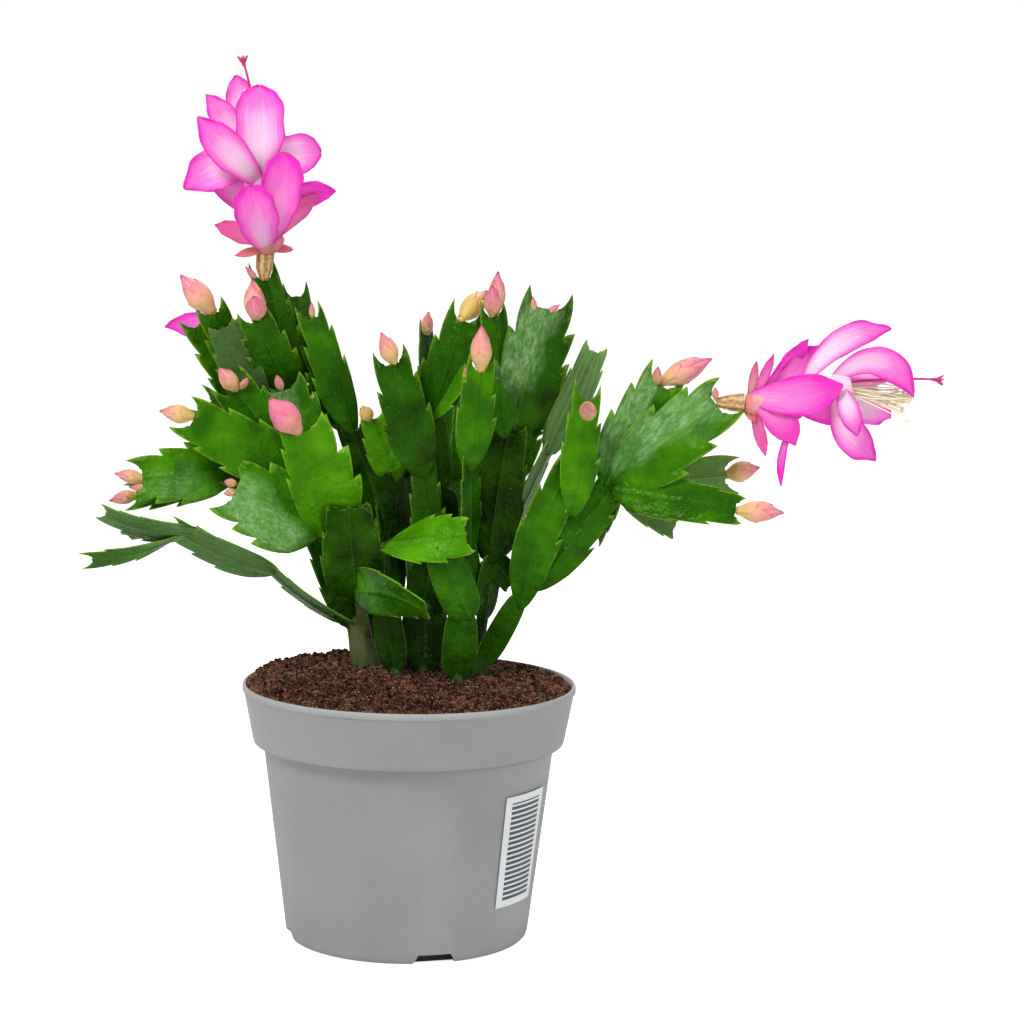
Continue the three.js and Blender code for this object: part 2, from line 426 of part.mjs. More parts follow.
const BLOOMS = {
  bloom_top: {
    on: 'stem_back_left',
    ovary: { path: [[-53, 235.5, 12], [-53, 240, 11.4], [-52.6, 245, 10.6]], radii: [1.6, 3, 3.2] },
    tube: {
      path: [[-52.5, 245.3, 10.6], [-52.4, 248, 10], [-53.2, 256, 8.6], [-55, 268, 7.4], [-57, 282, 7]],
      radii: [3, 4.3, 4, 3.8, 5.2],
    },
    petals: [
      { from: [-53.5, 246.5, 9], to: [-63, 244, 6], width: 3.2, bow: 1 },
      { from: [-51.5, 247, 9], to: [-43, 246.4, 6], width: 3.2, bow: -1 },
      { from: [-52.6, 246.5, 6.5], to: [-53, 252.5, 2], width: 7 },
      { from: [-50.6, 246.5, 8], to: [-47.2, 252.5, 5], width: 6 },
      { from: [-54, 249, 8], to: [-70, 254.5, 3], width: 8, turn: 20, bow: 1 },
      { from: [-53, 248.5, 6], to: [-58.5, 268, -7], width: 15, turn: 0, bow: 3, cup: 0.25 },
      { from: [-50, 252, 6], to: [-46, 279.5, -1], width: 15, turn: 10, bow: 3, cup: 0.2 },
      { from: [-51, 250, 9], to: [-35, 265.5, 9], width: 7, turn: 20, sway: -1 },
      { from: [-51, 257, 10], to: [-29, 267, 10], width: 13, turn: 20, bow: 2 },
      { from: [-54.5, 256, 9], to: [-73, 272, 10], width: 7, turn: 10 },
      { from: [-53.5, 252, 12], to: [-57, 262, 30], width: 13, turn: 0, bow: -2 },
      { from: [-57, 274, 8], to: [-80.5, 267.5, 4], width: 16, turn: 10, bow: 4, sway: 3 },
      { from: [-56, 271, 5], to: [-76, 291.5, -5], width: 13.5, turn: -6, bow: 3 },
      { from: [-57, 279, 9], to: [-73, 299.5, 12], width: 10.5, turn: 0, bow: 2 },
      { from: [-57, 281, 11], to: [-63, 306, 17], width: 12, turn: 0, bow: -2 },
      { from: [-55, 271, 4], to: [-55, 302.5, -1], width: 17.5, turn: 5, bow: 3 },
      { from: [-55, 273, 7], to: [-34, 280.5, 8], width: 14.5, turn: 8, bow: 4, sway: -3 },
      { from: [-56, 277, 10], to: [-48, 292, 26], width: 13, turn: 0, bow: -2 },
    ],
    style: { path: [[-56.8, 279, 7], [-58, 300, 6], [-60, 309.4, 5], [-60.6, 311, 5]],
      radii: [0.7, 0.6, 0.55, 0.9] },
    stigma: { centre: [-60.6, 311, 5], toward: [-61, 314, 5] },
    anthers: [[-60, 296, 12], [-57, 297, 13], [-54, 296, 12], [-58.5, 293, 10], [-55.5, 293, 10],
      [-57, 299, 14]],
  },
  bloom_right: {
    on: 'stem_right',
    ovary: { path: [[108.4, 194.4, -8.6], [113.5, 194.4, -9], [118.4, 194.4, -9.4]], radii: [1.6, 2.9, 3.5] },
    tube: {
      path: [[118.8, 194.4, -9.4], [121.5, 194.2, -9.6], [130, 197, -10.5], [143, 199, -11], [156, 201, -11]],
      radii: [3.2, 4.6, 4.2, 4.4, 5.6],
    },
    petals: [
      { from: [120.5, 197, -10], to: [122.4, 209, -12], width: 3.2 },
      { from: [122.5, 197, -11], to: [128.4, 211.5, -14], width: 3.6 },
      { from: [122, 191.5, -11], to: [126.5, 176, -14], width: 4.6 },
      { from: [119.6, 191.5, -10], to: [122.6, 187.8, -13], width: 3 },
      { from: [123.5, 193.5, -12], to: [137, 180, -17], width: 11.5, turn: 0, bow: 2, sway: -2 },
      { from: [135.5, 184, -16], to: [132.5, 165, -17], width: 3, sway: 1.5 },
      { from: [123.5, 197, -12.5], to: [153, 201, -19], width: 15.5, turn: -6, bow: 2, sway: 2 },
      { from: [126, 198, -8], to: [140.5, 217, -6], width: 7, turn: 20 },
      { from: [129, 199, -7], to: [146.5, 215, -3], width: 10, turn: 0, bow: 2 },
      { from: [134, 197, -7], to: [155, 188.5, -5], width: 10, turn: 20 },
      { from: [126, 195, -6], to: [143, 193, 12], width: 12, turn: 0, bow: -2 },
      { from: [142, 203.5, -10], to: [169.5, 221.5, -4], width: 10.5, turn: -10, bow: 3, sway: -4.5 },
      { from: [153, 203, -12.5], to: [178.8, 198.5, -16], width: 11.5, turn: 14, bow: 3, sway: -10 },
      { from: [153, 198, -8], to: [171, 190, 0], width: 12, turn: 10, bow: 2 },
      { from: [152.5, 197, -14], to: [166, 175, -13], width: 12.5, turn: 0, bow: 3, sway: 3 },
      { from: [154, 198, -15.5], to: [159.5, 183.5, -22], width: 8, turn: 0, bow: 3 },
      { from: [153, 204, -7], to: [173, 203, -4], width: 8, turn: 0, sway: -3 },
      { from: [154, 202, -6], to: [168, 207, 10], width: 13, turn: 0, bow: -2 },
    ],
    style: { path: [[152, 202, -11.5], [168, 203.4, -12], [185, 203.8, -12.6], [187.4, 203.6, -12.6]],
      radii: [0.7, 0.6, 0.55, 0.9] },
    stigma: { centre: [187.4, 203.6, -12.6], toward: [190.4, 203.4, -12.6] },
    anthers: [[175, 199, -12], [176.5, 195.5, -13], [175, 192, -11], [173.5, 196.5, -9], [176.5, 189, -12],
      [174, 201, -10]],
  },
  bloom_back: {
    on: 'stem_back_left',
    ovary: { path: [[-55.8, 207.2, 42.5], [-57.8, 207.7, 48], [-59.4, 208, 52.4]], radii: [1.6, 3, 3.2] },
    tube: {
      path: [[-59.5, 208, 52.7], [-60.4, 208.2, 55], [-63, 208.6, 62], [-66.5, 209, 72], [-70, 209, 82]],
      radii: [3, 4.3, 4, 3.8, 5.2],
    },
    petals: [
      { from: [-60, 208, 54], to: [-87, 218.8, 58], width: 15, turn: -10, bow: 2 },
      { from: [-61, 208, 56], to: [-66, 193, 66], width: 12, turn: 0, bow: 2 },
      { from: [-61, 208, 56], to: [-49, 203, 72], width: 12, turn: 0, bow: 2 },
      { from: [-62, 209, 58], to: [-56, 219, 72], width: 12, turn: 0, bow: 2 },
      { from: [-70, 210, 78], to: [-81, 215, 93], width: 11, turn: 0, bow: 2 },
      { from: [-70, 208, 78], to: [-78, 198, 92], width: 11, turn: 0, bow: 2 },
      { from: [-67, 208, 78], to: [-62, 197, 93], width: 11, turn: 0, bow: 2 },
      { from: [-67, 210, 78], to: [-63, 218, 94], width: 11, turn: 0, bow: 2 },
    ],
    style: { path: [[-69.6, 209, 80.5], [-73, 208.5, 92], [-76, 207.5, 103], [-76.4, 207.4, 105]],
      radii: [0.7, 0.6, 0.55, 0.9] },
    stigma: { centre: [-76.4, 207.4, 105], toward: [-77.2, 207, 108] },
    anthers: [[-73, 205, 96], [-75, 207, 97], [-71, 207, 97], [-74, 211, 96], [-72, 203, 94]],
  },
};

// Six small lobes spread like a star from the end of the style
const STIGMA_LOBES = 6;

function stigma({ centre, toward }) {
  const from = seen(centre);
  const ahead = seen(toward).sub(from);
  const side = new THREE.Vector3(0, 1, 0);
  const other = ahead.clone().normalize().cross(side);
  const corners = 2 * STIGMA_LOBES;
  const ring = (forward, reach) => Array.from({ length: corners }, (_, k) => {
    const radius = k % 2 ? reach * 0.42 : reach;
    return from.clone().addScaledVector(ahead, forward)
      .addScaledVector(side, radius * Math.cos(2 * Math.PI * k / corners))
      .addScaledVector(other, radius * Math.sin(2 * Math.PI * k / corners));
  });
  const vertices = [from.clone().addScaledVector(ahead, -0.3), ...ring(0.75, 1.9), ...ring(1.05, 1.5),
    from.clone().addScaledVector(ahead, 0.7)];
  const faces = [];
  for (let k = 0; k < corners; k += 1) {
    const next = (k + 1) % corners;
    const [a, b, c, d] = [1 + k, 1 + next, 1 + corners + k, 1 + corners + next];
    faces.push([0, b, a], [a, b, d], [a, d, c], [c, d, vertices.length - 1]);
  }
  return solidOfFaces(vertices, faces);
}

function rodSeen({ path, radii }, sides, extra = 0) {
  return rod(path.map(seen), radii.map(radius => radius + extra), sides);
}

// Stamens rise from a bundle that stands in the throat at the end of the tube
const BUNDLE_RADIUS = 2.3;

function throatOf(bloom) {
  const mouth = seen(bloom.tube.path[4]);
  const inner = mouth.clone().lerp(seen(bloom.tube.path[3]), 0.3);
  return { mouth, inner };
}

function throatHollow(bloom) {
  const { mouth, inner } = throatOf(bloom);
  const along = mouth.clone().sub(inner).normalize();
  const bottom = inner.clone().addScaledVector(along, -GAP);
  const beyond = mouth.clone().addScaledVector(along, 12);
  const radii = [BUNDLE_RADIUS + GAP + 0.1, BUNDLE_RADIUS + 1.2, BUNDLE_RADIUS + 5];
  return rod([bottom, mouth, beyond], radii, 6);
}

function stamens(bloom) {
  const { mouth, inner } = throatOf(bloom);
  const along = mouth.clone().sub(inner).normalize();
  const bundle = rod([inner, inner.clone().lerp(mouth, 0.7)], [BUNDLE_RADIUS, BUNDLE_RADIUS], 6);
  const threads = bloom.anthers.map(place => {
    const end = seen(place);
    const out = end.clone().sub(inner);
    out.addScaledVector(along, -out.dot(along)).setLength(BUNDLE_RADIUS * 0.5);
    const start = inner.clone().lerp(mouth, 0.3).add(out);
    const knob = end.clone().sub(start).normalize();
    return rod([start, end, end.clone().addScaledVector(knob, 1), end.clone().addScaledVector(knob, 2.2)],
      [0.46, 0.4, 0.85, 0.4], 3);
  });
  return join([bundle, ...threads]);
}

// Profile of the pot, turned about the middle: foot, tapered body, step to the band, lip, inner wall, floor
const BAND_BOTTOM = POT_HEIGHT - BAND_HEIGHT;
const BAND_RADIUS = RIM_RADIUS - RIM_OVERHANG;
const BODY_TOP = BAND_BOTTOM - 1;

function potProfile() {
  const outside = [
    [0, 0], [FOOT_RADIUS - FOOT_CORNER, 0], [FOOT_RADIUS - 0.7, 0.8], [FOOT_RADIUS, FOOT_CORNER],
    [BODY_RADIUS, BODY_TOP], [BAND_RADIUS - 0.8, BAND_BOTTOM], [BAND_RADIUS, BAND_BOTTOM + 1.2],
    [RIM_RADIUS - 0.6, POT_HEIGHT - 3], [RIM_RADIUS, POT_HEIGHT - 2.4], [RIM_RADIUS, POT_HEIGHT],
  ];
  const inside = [
    [RIM_RADIUS - WALL, POT_HEIGHT], [RIM_RADIUS - WALL - 0.8, POT_HEIGHT - 3],
    [BAND_RADIUS - WALL, BAND_BOTTOM + 2.4], [BODY_RADIUS - WALL, BAND_BOTTOM - 0.4],
    [FOOT_RADIUS - WALL, FLOOR + 2], [FOOT_RADIUS - WALL - 2, FLOOR], [0, FLOOR],
  ];
  return { outside, inside };
}

function lathe(profile) {
  return solidOf(new THREE.LatheGeometry(profile.map(([r, z]) => new THREE.Vector2(r, z)), POT_SIDES)
    .rotateX(Math.PI / 2));
}

// One drain notch: a tapered wedge that cuts the corner between the foot and the wall
function notch(index) {
  const outline = new THREE.Shape([
    new THREE.Vector2(-NOTCH_WIDTH / 2, -1), new THREE.Vector2(NOTCH_WIDTH / 2, -1),
    new THREE.Vector2(NOTCH_WIDTH * 0.35, NOTCH_HEIGHT), new THREE.Vector2(-NOTCH_WIDTH * 0.35, NOTCH_HEIGHT),
  ]);
  const wedge = new THREE.ExtrudeGeometry(outline, { depth: 10, bevelEnabled: false });
  wedge.rotateX(Math.PI / 2);
  wedge.translate(0, -FOOT_RADIUS + 6, 0);
  wedge.rotateZ((NOTCH_TURN + index * 360 / NOTCH_COUNT) * Math.PI / 180);
  return solidOf(wedge);
}

function pot() {
  const { outside, inside } = potProfile();
  const notches = Array.from({ length: NOTCH_COUNT }, (_, index) => notch(index));
  return notches.reduce((whole, cut) => whole.subtract(cut), lathe([...outside, ...inside]));
}

// The label lies on the body, on the same flat sides, a hair off the wall
function label() {
  const step = 360 / POT_SIDES;
  const first = Math.round((90 - LABEL_MIDDLE - LABEL_ARC / 2) / step) * step;
  const steps = Math.round(LABEL_ARC / step);
  const slope = (BODY_RADIUS - FOOT_RADIUS) / (BODY_TOP - FOOT_CORNER);
  const wallAt = z => FOOT_RADIUS + slope * (z - FOOT_CORNER);
  const vertices = [];
  const faces = [];
  for (let k = 0; k <= steps; k += 1) {
    const angle = -(first + k * step) * Math.PI / 180;
    for (const z of [LABEL_BOTTOM, LABEL_BOTTOM + LABEL_HEIGHT]) {
      for (const out of [GAP, GAP + LABEL_THICKNESS]) {
        const radius = wallAt(z) + out;
        vertices.push(new THREE.Vector3(radius * Math.cos(angle), radius * Math.sin(angle), z));
      }
    }
  }
  const quad = (a, b, c, d) => faces.push([a, c, b], [a, d, c]);
  for (let k = 0; k < steps; k += 1) {
    const a = 4 * k;
    const b = a + 4;
    quad(a, a + 2, b + 2, b);
    quad(a + 1, b + 1, b + 3, a + 3);
    quad(a, b, b + 1, a + 1);
    quad(a + 2, a + 3, b + 3, b + 2);
  }
  const end = 4 * steps;
  quad(0, 1, 3, 2);
  quad(end, end + 2, end + 3, end + 1);
  return solidOfFaces(vertices, faces);
}

// Soil: fills the pot to just under the rim and is heaped a little in the middle and at the back left
function soilHeight(x, y, draw) {
  const reach = Math.hypot(x, y) / (RIM_RADIUS - WALL);
  const heap = SOIL_MOUND * (1 - reach ** 2);
  const backLeft = SOIL_BACK_LEFT * Math.max(0, (y - x) / (1.4 * RIM_RADIUS));
  const rough = (draw() - 0.5) * (reach > 0.9 ? 0.5 : 1.6);
  return SOIL_LEVEL + heap + backLeft + rough;
}

function soil(holes) {
  const draw = seeded(5);
  const sides = POT_SIDES / 2;
  const { inside } = potProfile();
  const wall = inside.slice(1).map(([r, z]) => [Math.max(r - GAP, 0), z]);
  const vertices = [new THREE.Vector3(0, 0, soilHeight(0, 0, draw))];
  const ringOf = (radius, heightAt) => {
    const start = vertices.length;
    for (let k = 0; k < sides; k += 1) {
      const angle = 2 * Math.PI * k / sides;
      const x = radius * Math.cos(angle);
      const y = radius * Math.sin(angle);
      vertices.push(new THREE.Vector3(x, y, heightAt(x, y)));
    }
    return start;
  };
  const top = SOIL_RINGS.map(radius => ringOf(radius, (x, y) => soilHeight(x, y, draw)));
  const side = wall.slice(1, -1).map(([radius, z]) => ringOf(radius, () => z + GAP));
  const rings = [...top, ...side];
  const faces = [];
  for (let k = 0; k < sides; k += 1) {
    const next = (k + 1) % sides;
    faces.push([0, rings[0] + k, rings[0] + next]);
    for (let ring = 0; ring < rings.length - 1; ring += 1) {
      const [a, b] = [rings[ring], rings[ring + 1]];
      faces.push([a + k, b + k, b + next], [a + k, b + next, a + next]);
    }
  }
  const bottom = rings[rings.length - 1];
  for (let k = 1; k < sides - 1; k += 1) faces.push([bottom, bottom + k + 1, bottom + k]);
  return holes.reduce((whole, hole) => whole.subtract(hole), solidOfFaces(vertices, faces));
}

// A stem's root stands straight down in the soil from the foot of its trunk
function rootRod(trunk, extra = 0) {
  const top = seen(trunk.path[0]);
  const foot = new THREE.Vector3(top.x, top.y, ROOT_BOTTOM - extra);
  const neck = new THREE.Vector3(0, 0, 1);
  return rod([foot, top.add(neck)], [trunk.radii[0] * 0.8 + extra, trunk.radii[0] + extra], 6);
}

// The plain hole that a stem stands in: its root and the foot of its trunk, a gap wider
function stemHole({ trunks }) {
  const wide = GAP + 0.3;
  const foot = { path: trunks[0].path.slice(0, 2), radii: trunks[0].radii.slice(0, 2) };
  return rootRod(trunks[0], wide).add(rodSeen(foot, 6, wide));
}

function stem({ trunks, rows }, seed) {
  const trunkSolids = trunks.map(trunk => rodSeen(trunk, 6));
  const segments = rows.map((row, k) => (row.old ? oldLeaf(row) : leaf(row, seed * 100 + k)));
  return join([rootRod(trunks[0]), ...trunkSolids, ...segments]);
}

const group = new THREE.Group();

function addPart(name, solid, color, roughness) {
  const material = new THREE.MeshStandardMaterial({ color, roughness, metalness: 0 });
  const mesh = new THREE.Mesh(geometryOf(solid), material);
  mesh.name = name;
  group.add(mesh);
}

addPart('pot', pot(), 0x9b9b98, 0.6);
addPart('label', label(), 0xf0f0ee, 0.7);
addPart('soil', soil(Object.values(STEMS).map(stemHole)), 0x3a2219, 0.95);

// Buds, ovaries and tubes stand in seats cut a gap wider than they are
Object.entries(STEMS).forEach(([name, plan], index) => {
  const seats = Object.values(BUDS).filter(row => row.on === name).map(row => bud(row, GAP));
  const bloomSeats = Object.values(BLOOMS).filter(bloom => bloom.on === name)
    .flatMap(bloom => [rodSeen(bloom.ovary, 8, GAP), rodSeen(bloom.tube, 6, GAP)]);
  const cut = [...seats, ...bloomSeats].reduce((whole, seat) => whole.subtract(seat), stem(plan, index + 1));
  addPart(name, largestPiece(cut), 0x3f7d12, 0.35);
});

Object.entries(BUDS).forEach(([name, row]) => addPart(name, bud(row), 0xf09a86, 0.45));

Object.entries(BLOOMS).forEach(([name, bloom]) => {
  const style = join([rodSeen(bloom.style, 5), stigma(bloom.stigma)]);
  const styleSeat = rodSeen(bloom.style, 5, GAP);
  const threads = stamens(bloom).subtract(styleSeat);
  const ovary = rodSeen(bloom.ovary, 8);
  const body = join([rodSeen(bloom.tube, 6), ...bloom.petals.map(petal)])
    .subtract(rodSeen(bloom.ovary, 8, GAP)).subtract(throatHollow(bloom));
  addPart(`${name}_ovary`, ovary, 0xb9a26a, 0.5);
  addPart(`${name}_petals`, largestPiece(body), 0xe85fc0, 0.5);
  addPart(`${name}_style`, style, 0xc2185b, 0.5);
  addPart(`${name}_stamens`, threads, 0xf6ecc8, 0.6);
});

export default group;
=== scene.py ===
import math
import random
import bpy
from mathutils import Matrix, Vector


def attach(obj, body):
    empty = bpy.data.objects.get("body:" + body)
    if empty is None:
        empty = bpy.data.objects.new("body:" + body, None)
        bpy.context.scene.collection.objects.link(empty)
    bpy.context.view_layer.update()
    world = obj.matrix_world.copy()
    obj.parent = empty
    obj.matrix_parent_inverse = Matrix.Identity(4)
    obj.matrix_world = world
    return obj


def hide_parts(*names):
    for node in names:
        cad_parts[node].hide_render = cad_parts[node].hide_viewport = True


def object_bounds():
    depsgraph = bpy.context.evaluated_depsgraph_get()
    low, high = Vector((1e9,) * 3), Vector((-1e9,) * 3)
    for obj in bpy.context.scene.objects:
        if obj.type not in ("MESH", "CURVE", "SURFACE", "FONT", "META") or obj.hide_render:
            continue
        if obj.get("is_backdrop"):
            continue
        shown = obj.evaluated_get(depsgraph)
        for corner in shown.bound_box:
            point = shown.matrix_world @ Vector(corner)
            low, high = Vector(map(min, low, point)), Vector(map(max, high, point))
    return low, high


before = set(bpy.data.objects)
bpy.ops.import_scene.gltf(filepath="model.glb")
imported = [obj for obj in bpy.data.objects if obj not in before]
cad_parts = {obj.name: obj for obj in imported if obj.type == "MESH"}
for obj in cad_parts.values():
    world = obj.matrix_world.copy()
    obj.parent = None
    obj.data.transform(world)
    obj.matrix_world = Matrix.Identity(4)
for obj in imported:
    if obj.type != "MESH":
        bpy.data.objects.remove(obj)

from types import SimpleNamespace

import bpy
from mathutils import Matrix, Vector, noise

cad_low, cad_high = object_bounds()
bpy.ops.object.select_all(action="DESELECT")


# The stage: a pale floor that runs off into white, a wide soft light over the left shoulder, a weaker one
# from the right and a third from behind. The camera stands where the photographer stood.
EYE = Vector((0, -0.9, 0.26))
YAW, PITCH, ROLL = 0.0399, 0.11705, 0.01649
ahead = Vector((math.sin(YAW) * math.cos(PITCH), math.cos(YAW) * math.cos(PITCH), -math.sin(PITCH)))
level = Vector((math.cos(YAW), -math.sin(YAW), 0))
over = level.cross(ahead)
across_view = level * math.cos(ROLL) + over * math.sin(ROLL)
up_view = over * math.cos(ROLL) - level * math.sin(ROLL)


def placed(name, data):
    """A new object in the scene."""
    made = bpy.data.objects.new(name, data)
    bpy.context.scene.collection.objects.link(made)
    return made


camera = placed("camera", bpy.data.cameras.new("camera"))
camera.data.lens = 88.98
camera.data.sensor_width = 36
turned = Matrix((across_view, up_view, -ahead)).transposed().to_4x4()
camera.matrix_world = Matrix.Translation(EYE) @ turned
bpy.context.scene.camera = camera
bpy.context.scene.view_settings.view_transform = "Standard"


def softbox(name, place, aim, size, watts):
    lamp = placed(name, bpy.data.lights.new(name, "AREA"))
    lamp.data.shape = "DISK"
    lamp.data.size = size
    lamp.data.energy = watts
    lamp.location = place
    lamp.rotation_euler = (Vector(aim) - Vector(place)).to_track_quat("-Z", "Y").to_euler()


softbox("key", (-0.7, -0.9, 1.3), (0, 0, 0.15), 0.6, 19)
softbox("fill", (1.1, -0.9, 0.7), (0, 0, 0.15), 0.8, 6.2)
softbox("back", (0.3, 1.0, 1.2), (0, 0, 0.2), 0.9, 9)


def add(tree, kind, inputs=None, **settings):
    """A shader node: settings are its own values, inputs are numbers, colours or other nodes' outputs."""
    made = tree.nodes.new(kind)
    for key, value in settings.items():
        setattr(made, key, value)
    for key, value in (inputs or {}).items():
        if isinstance(value, bpy.types.NodeSocket):
            tree.links.new(value, made.inputs[key])
        else:
            made.inputs[key].default_value = value
    return made


world = bpy.data.worlds.new("white_room")
world.use_nodes = True
bpy.context.scene.world = world
air = world.node_tree
sky = air.nodes["Background"]
sky.inputs["Color"].default_value = (1, 1, 1, 1)
sky.inputs["Strength"].default_value = 0.36
seen_sky = add(air, "ShaderNodeBackground", {"Color": (1, 1, 1, 1)})
rays = add(air, "ShaderNodeLightPath").outputs["Is Camera Ray"]
either = add(air, "ShaderNodeMixShader", {0: rays, 1: sky.outputs[0], 2: seen_sky.outputs[0]})
air.links.new(either.outputs[0], air.nodes["World Output"].inputs["Surface"])


def surface(name, roughness, more=None):
    """A new material with its node tree and its main shader, and more of that shader's values."""
    made = bpy.data.materials.new(name)
    made.use_nodes = True
    shader = made.node_tree.nodes["Principled BSDF"]
    for key, value in {"Roughness": roughness, **(more or {})}.items():
        shader.inputs[key].default_value = value
    return made, made.node_tree, shader


def calc(operation, a, b=0.0):
    """A sum, in the same tree as the node that feeds it, as with all of these."""
    source = a if isinstance(a, bpy.types.NodeSocket) else b
    return add(source.id_data, "ShaderNodeMath", {0: a, 1: b}, operation=operation).outputs[0]


def plus(a, b):
    return calc("ADD", a, b)


def times(a, b):
    return calc("MULTIPLY", a, b)


def ranged(value, low, high, to_low=0.0, to_high=1.0):
    limits = {"From Min": low, "From Max": high, "To Min": to_low, "To Max": to_high}
    return add(value.id_data, "ShaderNodeMapRange", {"Value": value, **limits}).outputs["Result"]


def blend(factor, one, two):
    """A colour between two: one where the factor is 0, two where it is 1."""
    one, two = [(*colour, 1) if isinstance(colour, tuple) else colour for colour in (one, two)]
    inputs = {"Factor": factor, 6: one, 7: two}
    return add(factor.id_data, "ShaderNodeMix", inputs, data_type="RGBA").outputs[2]


# Mottle is a noise on the piece's own coordinates, in spots of a chosen size, which most finishes here use
mottle = bpy.data.node_groups.new("mottle", "ShaderNodeTree")
for socket, way, usual in (("Spot", "INPUT", 0.005), ("Detail", "INPUT", 3), ("Mask", "OUTPUT", 0)):
    mottle.interface.new_socket(socket, in_out=way, socket_type="NodeSocketFloat").default_value = usual
mottle_in = mottle.nodes.new("NodeGroupInput")
mottle_out = mottle.nodes.new("NodeGroupOutput")
mottle_place = add(mottle, "ShaderNodeTexCoord").outputs["Object"]
mottle_scale = calc("DIVIDE", 1.0, mottle_in.outputs["Spot"])
mottle_noise = add(mottle, "ShaderNodeTexNoise", {"Vector": mottle_place, "Scale": mottle_scale,
                                                  "Detail": mottle_in.outputs["Detail"]})
mottle.links.new(mottle_noise.outputs["Fac"], mottle_out.inputs["Mask"])


def spots(tree, size, detail=3.0, *limits):
    """Mottle in one size of spot, stretched to limits where they are given."""
    made = add(tree, "ShaderNodeGroup", node_tree=mottle)
    made.inputs["Spot"].default_value = size
    made.inputs["Detail"].default_value = detail
    return ranged(made.outputs["Mask"], *limits) if limits else made.outputs["Mask"]


def finish_surface(shader, colour, rough=None, height=None, depth=0.0001):
    tree = shader.id_data
    tree.links.new(colour, shader.inputs["Base Color"])
    if rough is not None:
        tree.links.new(rough, shader.inputs["Roughness"])
    if height is not None:
        bump = add(tree, "ShaderNodeBump", {"Height": height, "Distance": depth})
        tree.links.new(bump.outputs["Normal"], shader.inputs["Normal"])


bpy.ops.mesh.primitive_plane_add(size=30)
floor = bpy.context.object
floor.name = "floor"
floor_paint, tree, shader = surface("floor_paint", 0.7, {"Emission Color": (1, 1, 1, 1)})
finish_surface(shader, blend(spots(tree, 0.4), (0.93, 0.93, 0.93), (0.9, 0.9, 0.9)))
glow = times(add(tree, "ShaderNodeLightPath").outputs["Is Camera Ray"], 0.8)
tree.links.new(glow, shader.inputs["Emission Strength"])
floor.data.materials.append(floor_paint)
floor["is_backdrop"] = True


# The pot: one thin moulding of matt grey plastic, tapered to its foot, with a wide band under the rim that
# carries it in a tray, a rounded foot corner and four drain notches. It is turned up ring by ring.
BAND_FOOT, LIP_FOOT, POT_TOP = 0.0712, 0.0896, 0.0918
FLOOR_REACH, FLOOR_TOP = 0.0432, 0.0045
NOTCH_PLACE, NOTCH_DEPTH, NOTCH_FOOT, NOTCH_TOP = 0.044, 0.005, -0.001, 0.0036
NOTCH_WIDE, NOTCH_NARROW, NOTCH_TURN = 0.0083, 0.0058, 13
pot_rings = [
    (0.0415, 0), (0.0428, 0.0003), (0.0436, 0.0011), (0.044, 0.0025), (0.0523, 0.0697), (0.0527, 0.0704),
    (0.0553, 0.0708), (0.0559, 0.0712), (0.0562, 0.0722), (0.05935, 0.0888), (0.0596, 0.0893), (0.06, 0.0898),
    (0.06, 0.0914), (0.0598, 0.0919), (0.0594, 0.092), (0.059, 0.0919), (0.0588, 0.0915), (0.0579, 0.089),
    (0.0549, 0.0734), (0.0545, 0.0722), (0.051, 0.0706), (0.0427, 0.004), (0.0407, 0.002),
]


def keep(piece, name, paint, slot, *nodes):
    """Names a finished piece, paints it, hides the solids it stands in for and hangs it on the root body."""
    piece.name = name
    piece.data.name = name
    piece.data.materials.clear()
    piece.data.materials.append(paint)
    if nodes:
        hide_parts(*nodes)
    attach(piece, "root")
    piece.select_set(False)


def choose(*pieces):
    bpy.ops.object.select_all(action="DESELECT")
    for piece in pieces:
        piece.select_set(True)
    bpy.context.view_layer.objects.active = pieces[0]


def apply_modifier(piece, kind, **settings):
    bpy.context.view_layer.objects.active = piece
    modifier = piece.modifiers.new(kind, kind)
    for key, value in settings.items():
        setattr(modifier, key, value)
    bpy.ops.object.modifier_apply(modifier=modifier.name)


def face_out():
    """Turns the faces of the body at hand outwards."""
    bpy.ops.object.mode_set(mode="EDIT")
    bpy.ops.mesh.select_all(action="SELECT")
    bpy.ops.mesh.normals_make_consistent(inside=False)
    bpy.ops.object.mode_set(mode="OBJECT")


def draw_out(steps):
    """Pulls the border of the sheet at hand up or down and in or out, step by step, and closes it."""
    bpy.ops.object.mode_set(mode="EDIT")
    bpy.ops.mesh.select_mode(type="EDGE")
    bpy.ops.mesh.select_all(action="SELECT")
    bpy.ops.mesh.region_to_loop()
    for rise, growth in steps:
        bpy.ops.mesh.extrude_edges_move(TRANSFORM_OT_translate={"value": (0, 0, rise)})
        bpy.ops.transform.resize(value=(growth, growth, 1), center_override=(0, 0, 0))
    bpy.ops.mesh.edge_face_add()
    face_out()


bpy.ops.mesh.primitive_circle_add(vertices=120, radius=pot_rings[0][0], fill_type="TRIFAN")
pot = bpy.context.object
draw_out([(height - below, radius / before)
          for (radius, height), (before, below) in zip(pot_rings[1:], pot_rings)])
for quarter in range(4):
    angle = math.radians(NOTCH_TURN + 90 * quarter)
    bpy.ops.mesh.primitive_cube_add(size=1)
    wedge = bpy.context.object
    for vertex in wedge.data.vertices:
        low = vertex.co.z < 0
        x = math.copysign(NOTCH_WIDE if low else NOTCH_NARROW, vertex.co.x)
        y = math.copysign(NOTCH_DEPTH, vertex.co.y) - NOTCH_PLACE
        z = NOTCH_FOOT if low else NOTCH_TOP
        vertex.co = Matrix.Rotation(angle, 3, "Z") @ Vector((x, y, z))
    apply_modifier(pot, "BOOLEAN", object=wedge, operation="DIFFERENCE", solver="EXACT")
    bpy.data.objects.remove(wedge)
choose(pot)
bpy.ops.object.shade_smooth_by_angle(angle=math.radians(35))

